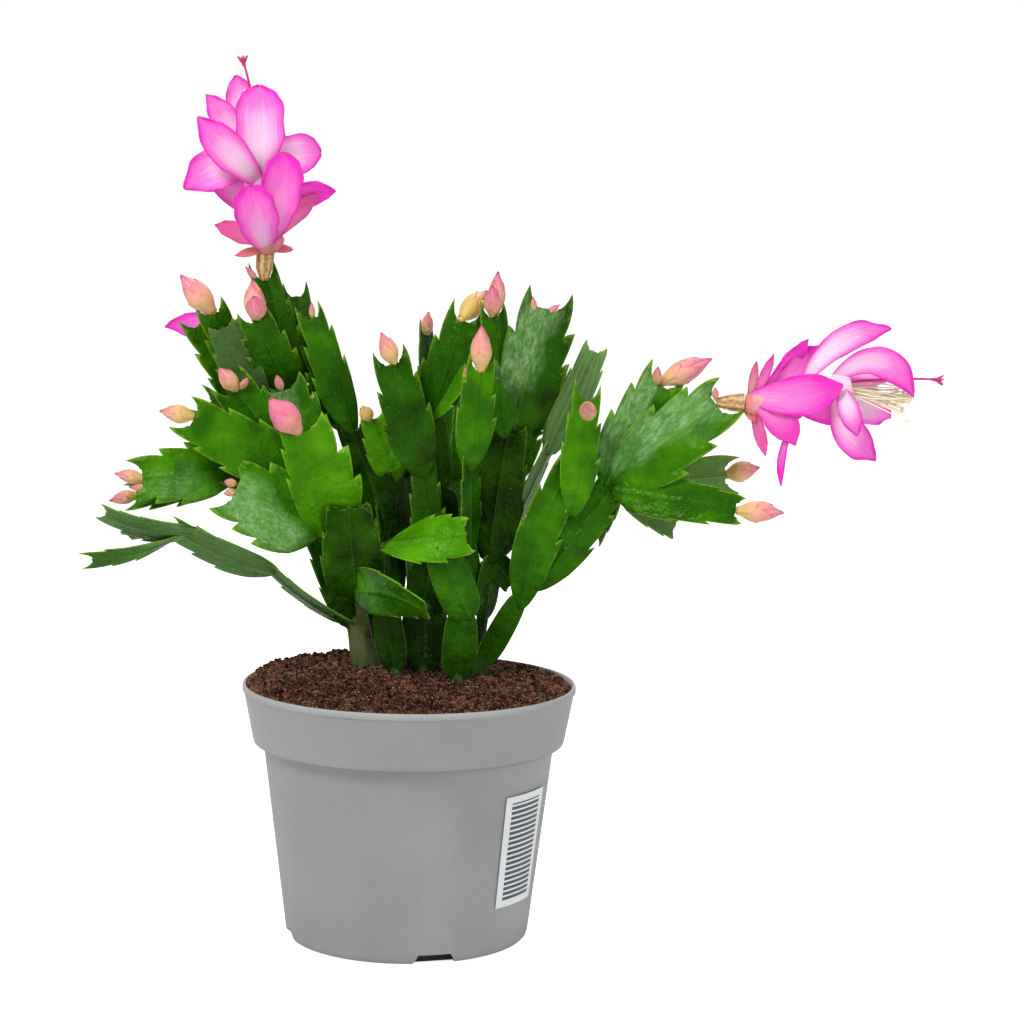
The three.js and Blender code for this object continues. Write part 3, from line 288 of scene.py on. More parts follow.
pot_plastic, tree, shader = surface("pot_plastic", 0.5)
place = add(tree, "ShaderNodeTexCoord").outputs["Object"]
height_up = add(tree, "ShaderNodeSeparateXYZ", {0: place}).outputs["Z"]
cloudy = blend(spots(tree, 0.03, 3, 0.35, 0.65), (0.265, 0.268, 0.262), (0.298, 0.3, 0.292))
dusty = blend(spots(tree, 0.0012, 6, 0.66, 0.82, 0, 0.3), cloudy, (0.42, 0.41, 0.38))
from_seam = calc("ABSOLUTE", calc("SUBTRACT", height_up, BAND_FOOT))
seam = calc("SUBTRACT", 1.0, ranged(from_seam, 0.0, 0.0006))
shaded = blend(times(seam, 0.3), dusty, (0.09, 0.1, 0.09))
# Painted highlight: the lip lightens towards the top of the rim, where the light falls on it.
edged = blend(ranged(height_up, LIP_FOOT, POT_TOP, 0, 0.3), shaded, (0.6, 0.6, 0.58))
flat_place = add(tree, "ShaderNodeVectorMath", {0: place, 1: (1, 1, 0)}, operation="MULTIPLY").outputs["Vector"]
off_axis = add(tree, "ShaderNodeVectorMath", {0: flat_place}, operation="LENGTH").outputs["Value"]
# Painted shade: the foot's underside and the faces inside its notches are painted near black, in place of the
# shade up under the pot.
underneath = times(ranged(off_axis, FLOOR_REACH, FLOOR_REACH - 0.0016),
                   calc("LESS_THAN", height_up, FLOOR_TOP))
dirty = blend(underneath, edged, (0.015, 0.013, 0.011))
grain = times(spots(tree, 0.0006, 2), 0.5)
finish_surface(shader, dirty, spots(tree, 0.015, 3, 0.3, 0.7, 0.42, 0.58), grain, 0.00012)
keep(pot, "pot_moulding", pot_plastic, "pot_plastic", "pot")


# The label: a small sheet of white coated paper, stuck round the side of the pot and printed with plain,
# evenly spaced bars.
LABEL_LOW, LABEL_HIGH, LABEL_TURN, LABEL_SWEEP = 0.0177, 0.0583, -34.5, 27
WALL_FOOT, WALL_FOOT_HEIGHT, WALL_SLOPE = 0.04445, 0.0025, 0.1232
BARS, PRINT_HALF_WIDTH, PRINT_HALF_HEIGHT = 22, 0.37, 0.44


def sheet(across, along, size):
    """A flat grid, to be laid along a piece's shape."""
    bpy.ops.mesh.primitive_grid_add(x_subdivisions=across, y_subdivisions=along, size=size)
    return bpy.context.object


label = sheet(16, 8, 1)
for vertex in label.data.vertices:
    turn = math.radians(LABEL_TURN + LABEL_SWEEP * vertex.co.x)
    up = LABEL_LOW + (LABEL_HIGH - LABEL_LOW) * (vertex.co.y + 0.5)
    out = WALL_FOOT + WALL_SLOPE * (up - WALL_FOOT_HEIGHT)
    vertex.co = Vector((out * math.cos(turn), out * math.sin(turn), up))
apply_modifier(label, "SOLIDIFY", thickness=0.00015, offset=0)


def mapped(tree):
    """The place on a piece's own map: across it and along it."""
    place = add(tree, "ShaderNodeSeparateXYZ", {0: add(tree, "ShaderNodeTexCoord").outputs["UV"]})
    return place.outputs["X"], place.outputs["Y"]


def off_middle(value):
    return calc("ABSOLUTE", calc("SUBTRACT", value, 0.5))


label_paper, tree, shader = surface("label_paper", 0.45)
across, along = mapped(tree)
bars = ranged(calc("FRACT", times(along, BARS)), 0.36, 0.38)
inside = times(calc("LESS_THAN", off_middle(across), PRINT_HALF_WIDTH),
               calc("LESS_THAN", off_middle(along), PRINT_HALF_HEIGHT))
paper = blend(spots(tree, 0.004), (0.66, 0.7, 0.72), (0.72, 0.76, 0.78))
printed = blend(times(bars, inside), paper, (0.05, 0.055, 0.06))
finish_surface(shader, printed, None, spots(tree, 0.0005), 0.00003)
keep(label, "pot_label", label_paper, "label_paper", "label")


# The soil: one body of dark moist peat, heaped against the stems and at the back left, where it stands a
# little over the rim. It is a disc that is roughened, with crumbs and pale fibres lying loose on it.
SOIL_TOP, SOIL_HEAP, SOIL_REACH, HEAP_REACH, LOOSE_REACH = 0.0885, 0.005, 0.0582, 0.0587, 0.057
CRUMBS, FIBRES, BIG_CRUMBS = 3200, 240, 0.12
BACK_LEFT_RISE, BACK_RIGHT_RISE, BACK_REACH = 0.0054, 0.0028, 0.084


def soil_height(x, y):
    reach = min(1.0, math.hypot(x, y) / HEAP_REACH)
    heap = SOIL_HEAP * (1 - reach ** 2)
    back_left = BACK_LEFT_RISE * max(0.0, (y - x) / BACK_REACH)
    back_right = BACK_RIGHT_RISE * max(0.0, (y + x) / BACK_REACH)
    rough = 0.0013 * noise.noise(Vector((x, y, 0)) * 130) + 0.001 * noise.noise(Vector((x, y, 5)) * 420)
    return SOIL_TOP + heap + max(back_left, back_right) + rough


# The square sheet is squeezed to a disc
soil = sheet(150, 150, 2)
for vertex in soil.data.vertices:
    x, y = vertex.co.x, vertex.co.y
    most = max(abs(x), abs(y))
    squeeze = most / math.hypot(x, y) if most else 1
    x, y = x * squeeze * SOIL_REACH, y * squeeze * SOIL_REACH
    vertex.co = Vector((x, y, soil_height(x, y)))
draw_out([(-0.015, 0.94), (-0.003, 0.92), (-0.064, 0.82)])
bpy.ops.object.shade_smooth()

peat, tree, shader = surface("peat", 0.95, {"Specular IOR Level": 0.1})
crumbled = blend(spots(tree, 0.0022, 6, 0.36, 0.66), (0.004, 0.0012, 0.0008), (0.26, 0.105, 0.056))
hollowed = blend(spots(tree, 0.006, 3, 0.42, 0.6, 0.75, 0), crumbled, (0.016, 0.005, 0.003))
earth = blend(spots(tree, 0.0007, 2, 0.6, 0.68), hollowed, (0.5, 0.3, 0.17))
clods = plus(spots(tree, 0.0012, 8), times(spots(tree, 0.004, 3), 1.5))
finish_surface(shader, earth, None, clods, 0.0016)
keep(soil, "soil_body", peat, "peat", "soil")

bpy.ops.mesh.primitive_ico_sphere_add(subdivisions=1, radius=1)
crumb = bpy.context.object
crumb_points = [vertex.co.copy() for vertex in crumb.data.vertices]
crumb_faces = [tuple(face.vertices) for face in crumb.data.polygons]
bpy.data.objects.remove(crumb)


def meshed(name, points, faces):
    mesh = bpy.data.meshes.new(name)
    mesh.from_pydata(points, [], faces)
    return placed(name, mesh)


def scattered(name, count, seed, shape_of):
    """Many small lumps in one mesh, each one a crumb squeezed, turned and laid on the soil."""
    draw = random.Random(seed)
    points, faces = [], []
    for _ in range(count):
        radius, angle = LOOSE_REACH * math.sqrt(draw.random()), draw.uniform(0, 2 * math.pi)
        size, lift = shape_of(draw)
        x, y = radius * math.cos(angle), radius * math.sin(angle)
        spin_angle = draw.uniform(0, 6.3)
        spin = Matrix.Rotation(spin_angle, 3, Vector((draw.gauss(0, 1), draw.gauss(0, 1), 2)).normalized())
        start = len(points)
        for point in crumb_points:
            lump = Vector([c * s * draw.uniform(0.75, 1.2) for c, s in zip(point, size)])
            points.append(spin @ lump + Vector((x, y, soil_height(x, y) + lift)))
        faces += [tuple(start + index for index in face) for face in crumb_faces]
    return meshed(name, points, faces)


def crumb_size(draw):
    size = draw.uniform(0.0004, 0.0011) * (1.5 if draw.random() < BIG_CRUMBS else 1)
    return (size, size * draw.uniform(0.6, 1), size * 0.7), size * 0.3


def fibre_size(draw):
    return (draw.uniform(0.001, 0.0028), 0.00012, 0.00012), 0.0004


def two_tone(name, roughness, spot, one, two, grain):
    """A plain finish: two colours in soft spots, under a fine grain."""
    made, tree, shader = surface(name, roughness)
    finish_surface(shader, blend(spots(tree, spot), one, two), None, spots(tree, grain))
    return made


keep(scattered("crumbs", CRUMBS, 3, crumb_size), "soil_crumbs", peat, "peat")
dry_fibre = two_tone("dry_fibre", 0.85, 0.003, (0.1, 0.04, 0.02), (0.45, 0.3, 0.19), 0.0003)
keep(scattered("fibres", FIBRES, 8, fibre_size), "soil_fibres", dry_fibre, "peat")


# The stems: each one grew as a chain of flat, waxy segments on a short woody trunk. A segment is narrow at
# its foot, has two forward teeth a side and two horns round its hollow tip, and a raised rib down both
# faces. Joints are noted as they show from the front, in millimetres: across, up, and how far back.
EYE_AWAY, EYE_UP = 900, 260


def seen(place):
    across, up, back = place
    spread = 1 + back / EYE_AWAY
    return Vector((across * spread, back, EYE_UP + (up - EYE_UP) * spread)) / 1000


def traced(places):
    return [seen(place) for place in places]


def leaf(foot, tip, width, turn=0, bow=0, tone=0.5, sway=0, cup=0.12, twist=0, halves=(1, 1), teeth=1,
         blunt=0, old=False, wash=0, matt=0, veins=0):
    """One segment or petal. It turns and twists by degrees, bows and sways by millimetres and cups by a share
    of its width; halves widen its two sides. Teeth are a segment's, and an old one has none; blunt rounds a
    petal's tip. Tone lightens a segment and darkens a petal. The number wash is a painted sheen on a segment,
    a highlight painted into its colour, and the rust of a bract; matt is a segment's grey bloom, and veins are
    its stripes."""
    return SimpleNamespace(**locals())


def seeded(seed):
    """Even draws from 0 to 1, which the part's source makes in the same way."""
    state = seed * 7919 + 17
    while True:
        state = (state * 1664525 + 1013904223) % 2 ** 32
        yield state / 2 ** 32


def arc(one, middle, two, count):
    """Points along a bent line, without its last point."""
    for step in range(count):
        t = step / count
        yield tuple(a * (1 - t) ** 2 + 2 * m * t * (1 - t) + b * t * t for a, m, b in zip(one, middle, two))


def inward(outline, share=0.94):
    """Pairs each point of a smooth outline with a point a little inside it."""
    return [(*point, point[0] * share, point[1] * 0.985) for point in outline]


def toothed_edge(draw, lead, teeth):
    """One side of a segment. A point holds how far out, how far along and how far it waves off its face, and
    then how far out and along the line lies that runs inside the teeth."""
    def stray(amount):
        return (next(draw) - 0.5) * amount

    low = 0.55 + lead + stray(0.05)
    high = 0.8 + lead + stray(0.04)
    tooth = (1.1 + stray(0.1), low + 0.04, stray(1.6))
    second = (0.96 + stray(0.1), high + 0.035, stray(1.4))
    horn = (0.66 + stray(0.12), 1.11 + stray(0.06), stray(1.2))
    foot, hip = (0.13, 0, 0), (0.88, 0.24, 0)
    notch, high_notch, tip = (0.88, low - 0.005, 0), (0.72, high - 0.005, 0), (0.34, 0.985, 0)
    outline = [
        *arc(foot, (0.5, 0.04, 0), hip, 6),
        *arc(hip, (1.1, 0.42, 0), tooth, 7),
        *arc(tooth, (0.93, low + 0.02, 0), notch, 3),
        *arc(notch, (0.99, (low + high) / 2 + 0.02, 0), second, 6),
        *arc(second, (0.77, high + 0.015, 0), high_notch, 3),
        *arc(high_notch, (0.87, high + 0.17, 0), horn, 6),
        *arc(horn, (0.5, 0.99, 0), tip, 4),
        tip,
    ]
    line = [
        *arc((0.11, 0), (0.45, 0.03), (0.81, 0.21), 6),
        *arc((0.81, 0.21), (0.9, 0.38), (0.83, low - 0.03), 10),
        *arc((0.83, low - 0.03), (0.78, (low + high) / 2), (0.67, high - 0.03), 9),
        *arc((0.67, high - 0.03), (0.6, 0.93), (0.3, 0.965), 10),
        (0.3, 0.965),
    ]
    return [(inner[0] / 0.94 + (out - inner[0] / 0.94) * teeth, min(along, 0.985 + (along - 0.985) * teeth),
             wave * teeth, *inner) for (out, along, wave), inner in zip(outline, line)]


def plain_edge():
    side, end = (0.97, 0.36, 0), (0.34, 0.99, 0)
    return inward([*arc((0.4, 0, 0), (0.95, 0.1, 0), side, 12), *arc(side, (1.0, 0.75, 0), (0.7, 0.93, 0), 14),
                   *arc((0.7, 0.93, 0), (0.5, 0.985, 0), end, 9), end])


# A blank sheet has 36 rows of points. Its columns lie at these shares of the way from the rib to the line
# inside the teeth, and one more runs along the edge itself. Both notches fall on rows of their own.
ACROSS = (0, 0.07, 0.26, 0.52, 0.78, 1)
HALF, EDGE_ROWS, END_ROWS, NOTCH_ROWS = len(ACROSS), 36, 11, (16, 25)
OVERLAP, FULL_WIDTH, THINNEST, THICKEST = 0.0025, 0.013, 0.12, 0.004
LONG_BRISTLES, SHORT_BRISTLES = (9, 0.0013), (3, 0.0009)
areoles = []
blank = sheet(2 * HALF, EDGE_ROWS - 1, 1)
blank_sheet = blank.data
bpy.data.objects.remove(blank)


def marked(piece, name, value):
    """Stores a number at each point of a piece, or one number at all of them, for its material."""
    values = value if isinstance(value, list) else [value] * len(piece.data.vertices)
    piece.data.attributes.new(name, "FLOAT", "POINT").data.foreach_set("value", values)


def blade(row, left, right, rib, rim, ridge=0.35):
    """A flat leaf between two joints, laid from a blank sheet: it faces the viewer, then turns about its own
    length, bows to its face, sways to its right, twists towards its tip and cups its edges forward. Rib says
    how thick its middle is and where that ends, rim how thick its edge is, and ridge what the rib adds."""
    foot, tip = seen(row.foot), seen(row.tip)
    width = row.width / 1000
    axis = (tip - foot).normalized()
    start = foot - axis * OVERLAP
    face = EYE - foot
    face = (face - axis * face.dot(axis)).normalized()
    turn = Matrix.Rotation(math.radians(row.turn), 3, axis)
    aside = turn @ axis.cross(face)
    face = turn @ face
    bow, sway = row.bow / 1000, row.sway / 1000

    def spine(along):
        arch = 4 * along * (1 - along)
        return start.lerp(tip, along) + face * bow * arch + aside * sway * arch

    def point(out, along, wave):
        tangent = (spine(along + 0.01) - spine(along - 0.01)).normalized()
        side = Matrix.Rotation(math.radians(row.twist * along), 3, axis) @ aside
        side = (side - tangent * side.dot(tangent)).normalized()
        up = tangent.cross(side)
        lift = row.cup * abs(out) ** 1.5 * width / 2 + wave / 1000
        return spine(along) + side * (out * width / 2) - up * lift

    places, weights = [], []
    thin = min(1.0, width / FULL_WIDTH)
    if ridge and not row.old:
        hollow = point(0, rib[1], 0)
        areoles.append((hollow, axis, *LONG_BRISTLES))
        for edge, away in ((left, -row.halves[0]), (right, row.halves[1])):
            for notch in (edge[index] for index in NOTCH_ROWS):
                spot = point(notch[0] * away, notch[1], 0)
                way = (axis + (spot - hollow).normalized() * 0.2).normalized()
                areoles.append((spot, way, *SHORT_BRISTLES))
    for index, (one, two) in enumerate(zip(left, right)):
        late = max(0.0, (index - len(left) + END_ROWS) / (END_ROWS - 1))
        middle = 0.42 * (one[4] + two[4])
        middle += (rib[1] - middle) * late ** 1.6
        for column in range(-HALF, HALF + 1):
            away = -row.halves[0] if column < 0 else row.halves[1]
            out, along, wave, inner_out, inner_along = one if column < 0 else two
            if abs(column) == HALF:
                places.append(point(out * away, along, wave))
                weights.append(max(rim * 0.5, THINNEST))
                continue
            share = ACROSS[abs(column)]
            places.append(point(inner_out * share * away, middle + (inner_along - middle) * share ** 1.3, 0))
            thick = rim + (rib[0] * thin - rim) * (1 - share) ** 1.3
            if column == 0:
                thick += ridge * thin
            weights.append(max(thick, THINNEST))
    piece = placed("blade", blank_sheet.copy())
    piece.data.vertices.foreach_set("co", [c for place in places for c in place])
    group = piece.vertex_groups.new(name="thickness")
    for index, weight in enumerate(weights):
        group.add([index], weight / 2, "REPLACE")
    apply_modifier(piece, "SOLIDIFY", thickness=THICKEST, offset=0, vertex_group="thickness")
    for name in ("tone", "wash", "matt", "veins"):
        marked(piece, name, getattr(row, name))
    return piece


def segment(row, seed):
    if row.old:
        edge = plain_edge()
        return blade(row, edge, edge, (1.55, 1.0), 0.55)
    draw = seeded(seed)
    lead = -0.05 if next(draw) < 0.5 else 0.03
    left = toothed_edge(draw, lead, row.teeth)
    right = toothed_edge(draw, -0.02 - lead, row.teeth)
    return blade(row, left, right, (1.15, 0.965), 0.42)


def fused(pieces):
    """Joins pieces into one object and smooths its shading."""
    choose(*pieces)
    bpy.ops.object.join()
    bpy.ops.object.shade_smooth()
    return pieces[0]


MILLIMETRE = 0.001


def tapered(path, radii, sides, knots=5):
    """A round, closed rod through points, with a radius in millimetres at each."""
    curve = bpy.data.curves.new("rod", "CURVE")
    curve.dimensions = "3D"
    curve.bevel_depth = MILLIMETRE
    curve.bevel_resolution = max(0, sides // 2 - 2)
    curve.use_fill_caps = True
    curve.resolution_u = knots
    line = curve.splines.new("BEZIER")
    line.bezier_points.add(len(path) - 1)
    for spot, place, radius in zip(line.bezier_points, path, radii):
        spot.co = place
        spot.radius = radius
        spot.handle_left_type = spot.handle_right_type = "AUTO"
    choose(placed("rod", curve))
    bpy.ops.object.convert(target="MESH")
    bpy.ops.object.mode_set(mode="EDIT")
    bpy.ops.mesh.select_all(action="SELECT")
    bpy.ops.mesh.remove_doubles(threshold=MILLIMETRE / 100)
    face_out()
    bpy.ops.object.shade_smooth()
    return bpy.context.object


def mark(tree, name):
    """A number that marked() has stored on the piece."""
    return add(tree, "ShaderNodeAttribute", attribute_name=name).outputs["Fac"]


waxy_green, tree, shader = surface("waxy_green", 0.3, {
    "Subsurface Weight": 0.12, "Subsurface Radius": (0.5, 1.0, 0.15), "Subsurface Scale": 0.0015,
    "Specular IOR Level": 0.22, "Specular Tint": (0.6, 1, 0.25, 1)})
across, along = mapped(tree)
off_rib = times(off_middle(across), 2)
tone = mark(tree, "tone")
depth_of_green = plus(tone, spots(tree, 0.011, 4, 0.3, 0.7, -0.2, 0.2))
dark = blend(ranged(depth_of_green, 0.0, 0.5), (0.003, 0.016, 0.0008), (0.021, 0.115, 0.001))
green = blend(ranged(depth_of_green, 0.5, 1.0), dark, (0.088, 0.33, 0.002))
grey = blend(ranged(tone, 0.2, 0.7), (0.04, 0.075, 0.03), (0.16, 0.29, 0.1))
matted = blend(times(mark(tree, "matt"), spots(tree, 0.006, 3, 0.3, 0.7, 0.55, 0.85)), green, grey)
# Painted sheen: where a segment carries a wash, a pale satin band and fine glints are painted into its colour
# over the side the light falls on, in place of the light's reflection on the waxy skin.
aslant = plus(times(along, 0.7), times(across, -1.1))
uneven = plus(aslant, spots(tree, 0.012, 2, 0.3, 0.7, -0.3, 0.3))
lit = times(ranged(uneven, -0.4, 0.15), ranged(off_rib, 1.0, 0.85))
whole_place = add(tree, "ShaderNodeTexCoord").outputs
blade_place = add(tree, "ShaderNodeVectorMath", {0: whole_place["UV"], 1: (17, 13, 1)}, operation="MULTIPLY")
crinkle_place = add(tree, "ShaderNodeVectorMath", {0: whole_place["Object"], 1: (90, 90, 90),
                                                   2: blade_place.outputs["Vector"]}, operation="MULTIPLY_ADD")
crinkle = add(tree, "ShaderNodeTexNoise", {"Vector": crinkle_place.outputs["Vector"], "Scale": 1.0, "Detail": 5,
                                           "Roughness": 0.72, "Distortion": 0.35}).outputs["Fac"]
sheen = times(mark(tree, "wash"), lit)
satin = blend(times(sheen, spots(tree, 0.004, 3, 0.3, 0.7, 0.35, 0.75)), matted, (0.15, 0.34, 0.09))
glints = times(sheen, ranged(crinkle, 0.45, 0.75, 0, 0.7))
glossy = blend(glints, satin, (0.46, 0.64, 0.36))
flecked = blend(spots(tree, 0.0009, 2, 0.68, 0.74, 0, 0.3), glossy, (0.22, 0.42, 0.06))
ribbed = blend(ranged(off_rib, 0.08, 0.0, 0, 0.25), flecked, (0.08, 0.24, 0.01))
stripes = ranged(calc("SINE", times(off_rib, 22)), -1, 1)
lines = times(mark(tree, "veins"), stripes)
striped = blend(times(lines, 0.45), ribbed, (0.26, 0.4, 0.2))
# The pale margin is partly the segment's own paler edge and partly a painted highlight where the edge catches
# the light; it is fainter on darker segments.
margin = ranged(plus(off_rib, spots(tree, 0.002, 3, 0.3, 0.7, -0.03, 0.03)), 0.94, 0.99)
rimmed = times(margin, ranged(tone, 0.1, 0.6, 0.2, 0.6))
edged = blend(rimmed, striped, (0.26, 0.46, 0.03))
pebbles = plus(times(spots(tree, 0.0035, 2), 1.2), times(spots(tree, 0.0011, 3), 0.45))
lined = plus(pebbles, times(lines, 0.5))
relief = plus(lined, times(sheen, times(crinkle, 0.6)))
finish_surface(shader, edged, spots(tree, 0.006, 4, 0.3, 0.7, 0.16, 0.4), relief, 0.0006)

woody_green, tree, shader = surface("woody_green", 0.6, {"Specular IOR Level": 0.2})
streaks = add(tree, "ShaderNodeMapping", {"Vector": add(tree, "ShaderNodeTexCoord").outputs["Object"],
                                         "Scale": (1, 1, 0.18)}).outputs["Vector"]
bark = add(tree, "ShaderNodeTexNoise", {"Vector": streaks, "Scale": 520, "Detail": 5}).outputs["Fac"]
young = blend(spots(tree, 0.012, 3, 0.35, 0.65), (0.042, 0.085, 0.015), (0.14, 0.17, 0.055))
aged = blend(ranged(bark, 0.45, 0.7), young, (0.13, 0.13, 0.065))
leafy = blend(ranged(bark, 0.4, 0.65), (0.007, 0.034, 0.0015), (0.024, 0.09, 0.004))
finish_surface(shader, blend(mark(tree, "age"), leafy, aged), None, bark, 0.0006)


TRUNK_FOOT, TRUNK_END = 0.016, 0.004


def grow_stem(name, number, trunks, rows, age=0.1):
    """One stem: its trunk and its chain of segments, which replace that stem's solid. The first trunk starts
    under the soil, and each one runs on into the segment over it."""
    wood = []
    for index, (places, widths) in enumerate(trunks):
        path, radii = traced(places), [*widths, 0.3]
        if index == 0:
            path.insert(0, path[0] - Vector((0, 0, TRUNK_FOOT)))
            radii.insert(0, radii[0] * 1.1)
        path.append(path[-1] + (path[-1] - path[-2]).normalized() * TRUNK_END)
        wood.append(tapered(path, radii, 16))
    trunk = fused(wood)
    marked(trunk, "age", age)
    keep(trunk, name + "_trunk", woody_green, "segment_green")
    leaves = [segment(row, number * 100 + index) for index, row in enumerate(rows)]
    keep(fused(leaves), name + "_segments", waxy_green, "segment_green", name)


# The left stem is the biggest: a low chain droops out to the far left, and the fan of broad segments over
# it carries most of the buds on that side. A second trunk holds two segments in front of the pot.
grow_stem("stem_left", 1, [
    ([(-15.5, 95, 18), (-17, 104, 16), (-20, 114, 13)], (6, 5, 3.2)),
    ([(-16, 108, 15), (-17.5, 117, 8), (-18.7, 124.5, 0)], (2.6, 2, 1.7)),
], [
    leaf((-20, 113, 13), (-50, 133, 6), 13, -72, 2, 0.45, teeth=0.5, matt=0.5, veins=0.15),
    leaf((-50, 132.5, 6), (-84, 147, 2), 16, -50, 2, teeth=0.8, matt=0.6, veins=0.2),
    leaf((-78, 146.5, 1), (-110, 152.5, -5), 15, -58, 3, 0.55, teeth=0.4, matt=0.5, veins=0.15),
    leaf((-82, 145.5, 2), (-115, 135, -6), 8.5, -94, 2, twist=70, teeth=0.8, matt=0.3),
    leaf((-83.5, 147, 4), (-101, 144, 15), 11, -70, tone=0.3, teeth=0.5),
    leaf((-20.5, 113, 13), (-34.5, 147, 3), 15, 15, 1, 0.25, teeth=0.4),
    leaf((-34.5, 147.5, 3), (-64, 161.5, -6), 29, 8, 2, 0.62, cup=0.16, wash=1),
    leaf((-36, 150, 6), (-66, 168.5, 10), 19, 28, 2, 0.35, teeth=0.5),
    leaf((-65, 168, 9), (-97, 164.5, 2), 20, 4, 2, 0.62, wash=0.35),
    leaf((-63, 166.5, 10.5), (-99, 158.3, 14), 14, 20, tone=0.65),
    leaf((-32, 146.5, 2), (-42.3, 182.8, -14), 22, 0, 3, 0.75, halves=(0.6, 1.6), teeth=0.8),
    leaf((-34, 148, 5), (-39, 168.5, 6), 13, 20, tone=0.4, old=True),
    leaf((-42, 167, 4), (-79, 187, -6), 21, -4, 3, 0.6, teeth=0.8),
    leaf((-41, 169, 9), (-74, 191.5, 6), 15, 20, 1),
    leaf((-40, 168.5, 7), (-63.5, 197, 3), 19, -6, 2, 0.45),
    leaf((-37, 166, 9), (-47, 197.5, 7), 24, 6, 2, 0.45, wash=0.6),
    leaf((-18.7, 123.5, 0), (-22.6, 156, -6), 24, -8, 3, 0.16, cup=0.2, teeth=0.2),
    leaf((-18.7, 124, -1), (6.6, 118.5, -28), 20, 16, 3, twist=44, sway=-3.5, teeth=0.1),
], age=1.0)

# The back left stem climbs behind it and carries the open bloom at the top and another one to the back
grow_stem("stem_back_left", 2, [
    ([(-9, 95, 25), (-12, 106, 25), (-15, 118, 24)], (3.2, 2.6, 2)),
], [
    leaf((-15, 117, 24), (-26, 148, 22), 13, 35, tone=0.3),
    leaf((-26, 147, 22), (-38, 170, 19), 15, 10, tone=0.3, old=True),
    leaf((-39, 169, 18), (-55, 190.5, 17), 13, 8, tone=0.3, old=True),
    leaf((-37, 169, 21), (-42, 200, 19), 14, tone=0.25, old=True),
    leaf((-55.5, 188, 20), (-76.5, 220.5, 21), 18, 20, 2, 0.4),
    leaf((-55, 190, 15), (-68, 219.5, 9), 16, -5, 2, 0.32, teeth=0.3, matt=1),
    leaf((-55, 191, 18), (-71.5, 224.5, 17), 15, 10, tone=0.4),
    leaf((-42, 199, 16), (-53, 237.5, 12), 13, 10, 1, 0.35),
    leaf((-41, 199, 21), (-42, 231, 21), 14, 20, 2, 0.35),
    leaf((-44, 198, 17), (-56, 222, 5), 16, -10, 2, 0.35),
    leaf((-43, 198, 22), (-56, 207, 44), 15, -40, tone=0.4),
    leaf((-38, 169, 22), (-48, 186, 48), 18, -30, 2, 0.4),
])

# The middle stem is thin and stands behind the front ones, with one pale segment in its fork
grow_stem("stem_middle", 3, [
    ([(-4.5, 93, 5), (-6, 99.5, 5.4)], (2.8, 1.2)),
], [
    leaf((-5.5, 98.5, 5), (-9.5, 122.5, 8), 12, -20, tone=0.2, old=True),
    leaf((-9.5, 121.5, 8), (-8.5, 147, 13), 18, 40, tone=0.15, old=True),
    leaf((-8, 146, 14), (-21.5, 184.5, 13), 15, -10, 1, 0.1),
    leaf((-21.5, 183.5, 13), (-36, 224, 9), 15, 6, 2, 0.4, halves=(1, 0.7)),
    leaf((-23, 184, 15), (-33.5, 212, 17), 18, 15, tone=0.15, halves=(1, 0.6)),
    leaf((-9.5, 146, 16), (-12.5, 168, 16), 10, 62, tone=0.25),
    leaf((-9, 147, 19), (-14, 163, 48), 18, 20, 2, 0.4),
    leaf((-6.5, 166.8, 13), (-14.5, 187.5, 6), 14, 0, 1, 0.95, teeth=0.35),
])

# The centre stem forks low and ends in three tall segments with buds
grow_stem("stem_centre", 4, [
    ([(5, 92, 8), (4.6, 99.5, 9)], (3.2, 1.2)),
], [
    leaf((4.7, 98.5, 9), (5.5, 130, 15), 17, 6, tone=0, old=True),
    leaf((2, 118.5, 15), (-0.5, 147, 20), 13, 62, tone=0.35, old=True, matt=0.7, veins=0.2),
    leaf((-2, 144, 20), (-4.5, 169, 25), 13, 30, tone=0.35, old=True, matt=0.7, veins=0.2),
    leaf((-4.5, 167.5, 25), (-4, 192, 30), 16, 0, 1, 0, teeth=0.5),
    leaf((4, 118.5, 14), (7, 138, 10), 14.5, 10, tone=0.2, old=True),
    leaf((6.5, 137, 7.5), (4, 169, 3), 12, 10, 1, 0.3),
    leaf((3.5, 168, 3), (-8, 208, -2), 17, 0, 2, 0.25),
    leaf((8, 137.5, 9), (11, 163, 13), 15, 15, tone=0.05, old=True),
    leaf((10.8, 162, 13), (7.5, 190, 9), 9, 20, tone=0.3),
    leaf((7, 188.5, 9), (18, 223.5, 6), 17, -6, 2, 0.35),
    leaf((8, 189.5, 8), (19, 203, 0), 11, -52, tone=0.75),
    leaf((5, 189, 12), (4, 218, 16), 14, 62, tone=0.35),
    leaf((8, 139, 12), (13, 165, 46), 18, -20, 2, 0.4),
    leaf((13, 164, 46), (15, 198, 60), 18, 10, 2, 0.4),
])

# The front stem is short, and its last segment leans out towards the viewer
grow_stem("stem_front", 5, [
    ([(17, 91, -6), (17.4, 96.5, -6)], (3, 1.2)),
], [
    leaf((17.5, 95.5, -6), (18.5, 119, -7), 13, 8, tone=0.3, old=True),
    leaf((19.7, 117.5, -7), (9, 141.2, -12.6), 15, 12, 1, 0.45, old=True),
    leaf((-9.5, 141.3, -4), (20.5, 146, -15), 20, -80, tone=0.85, twist=85, halves=(0.9, 1.1), teeth=0.4),
])

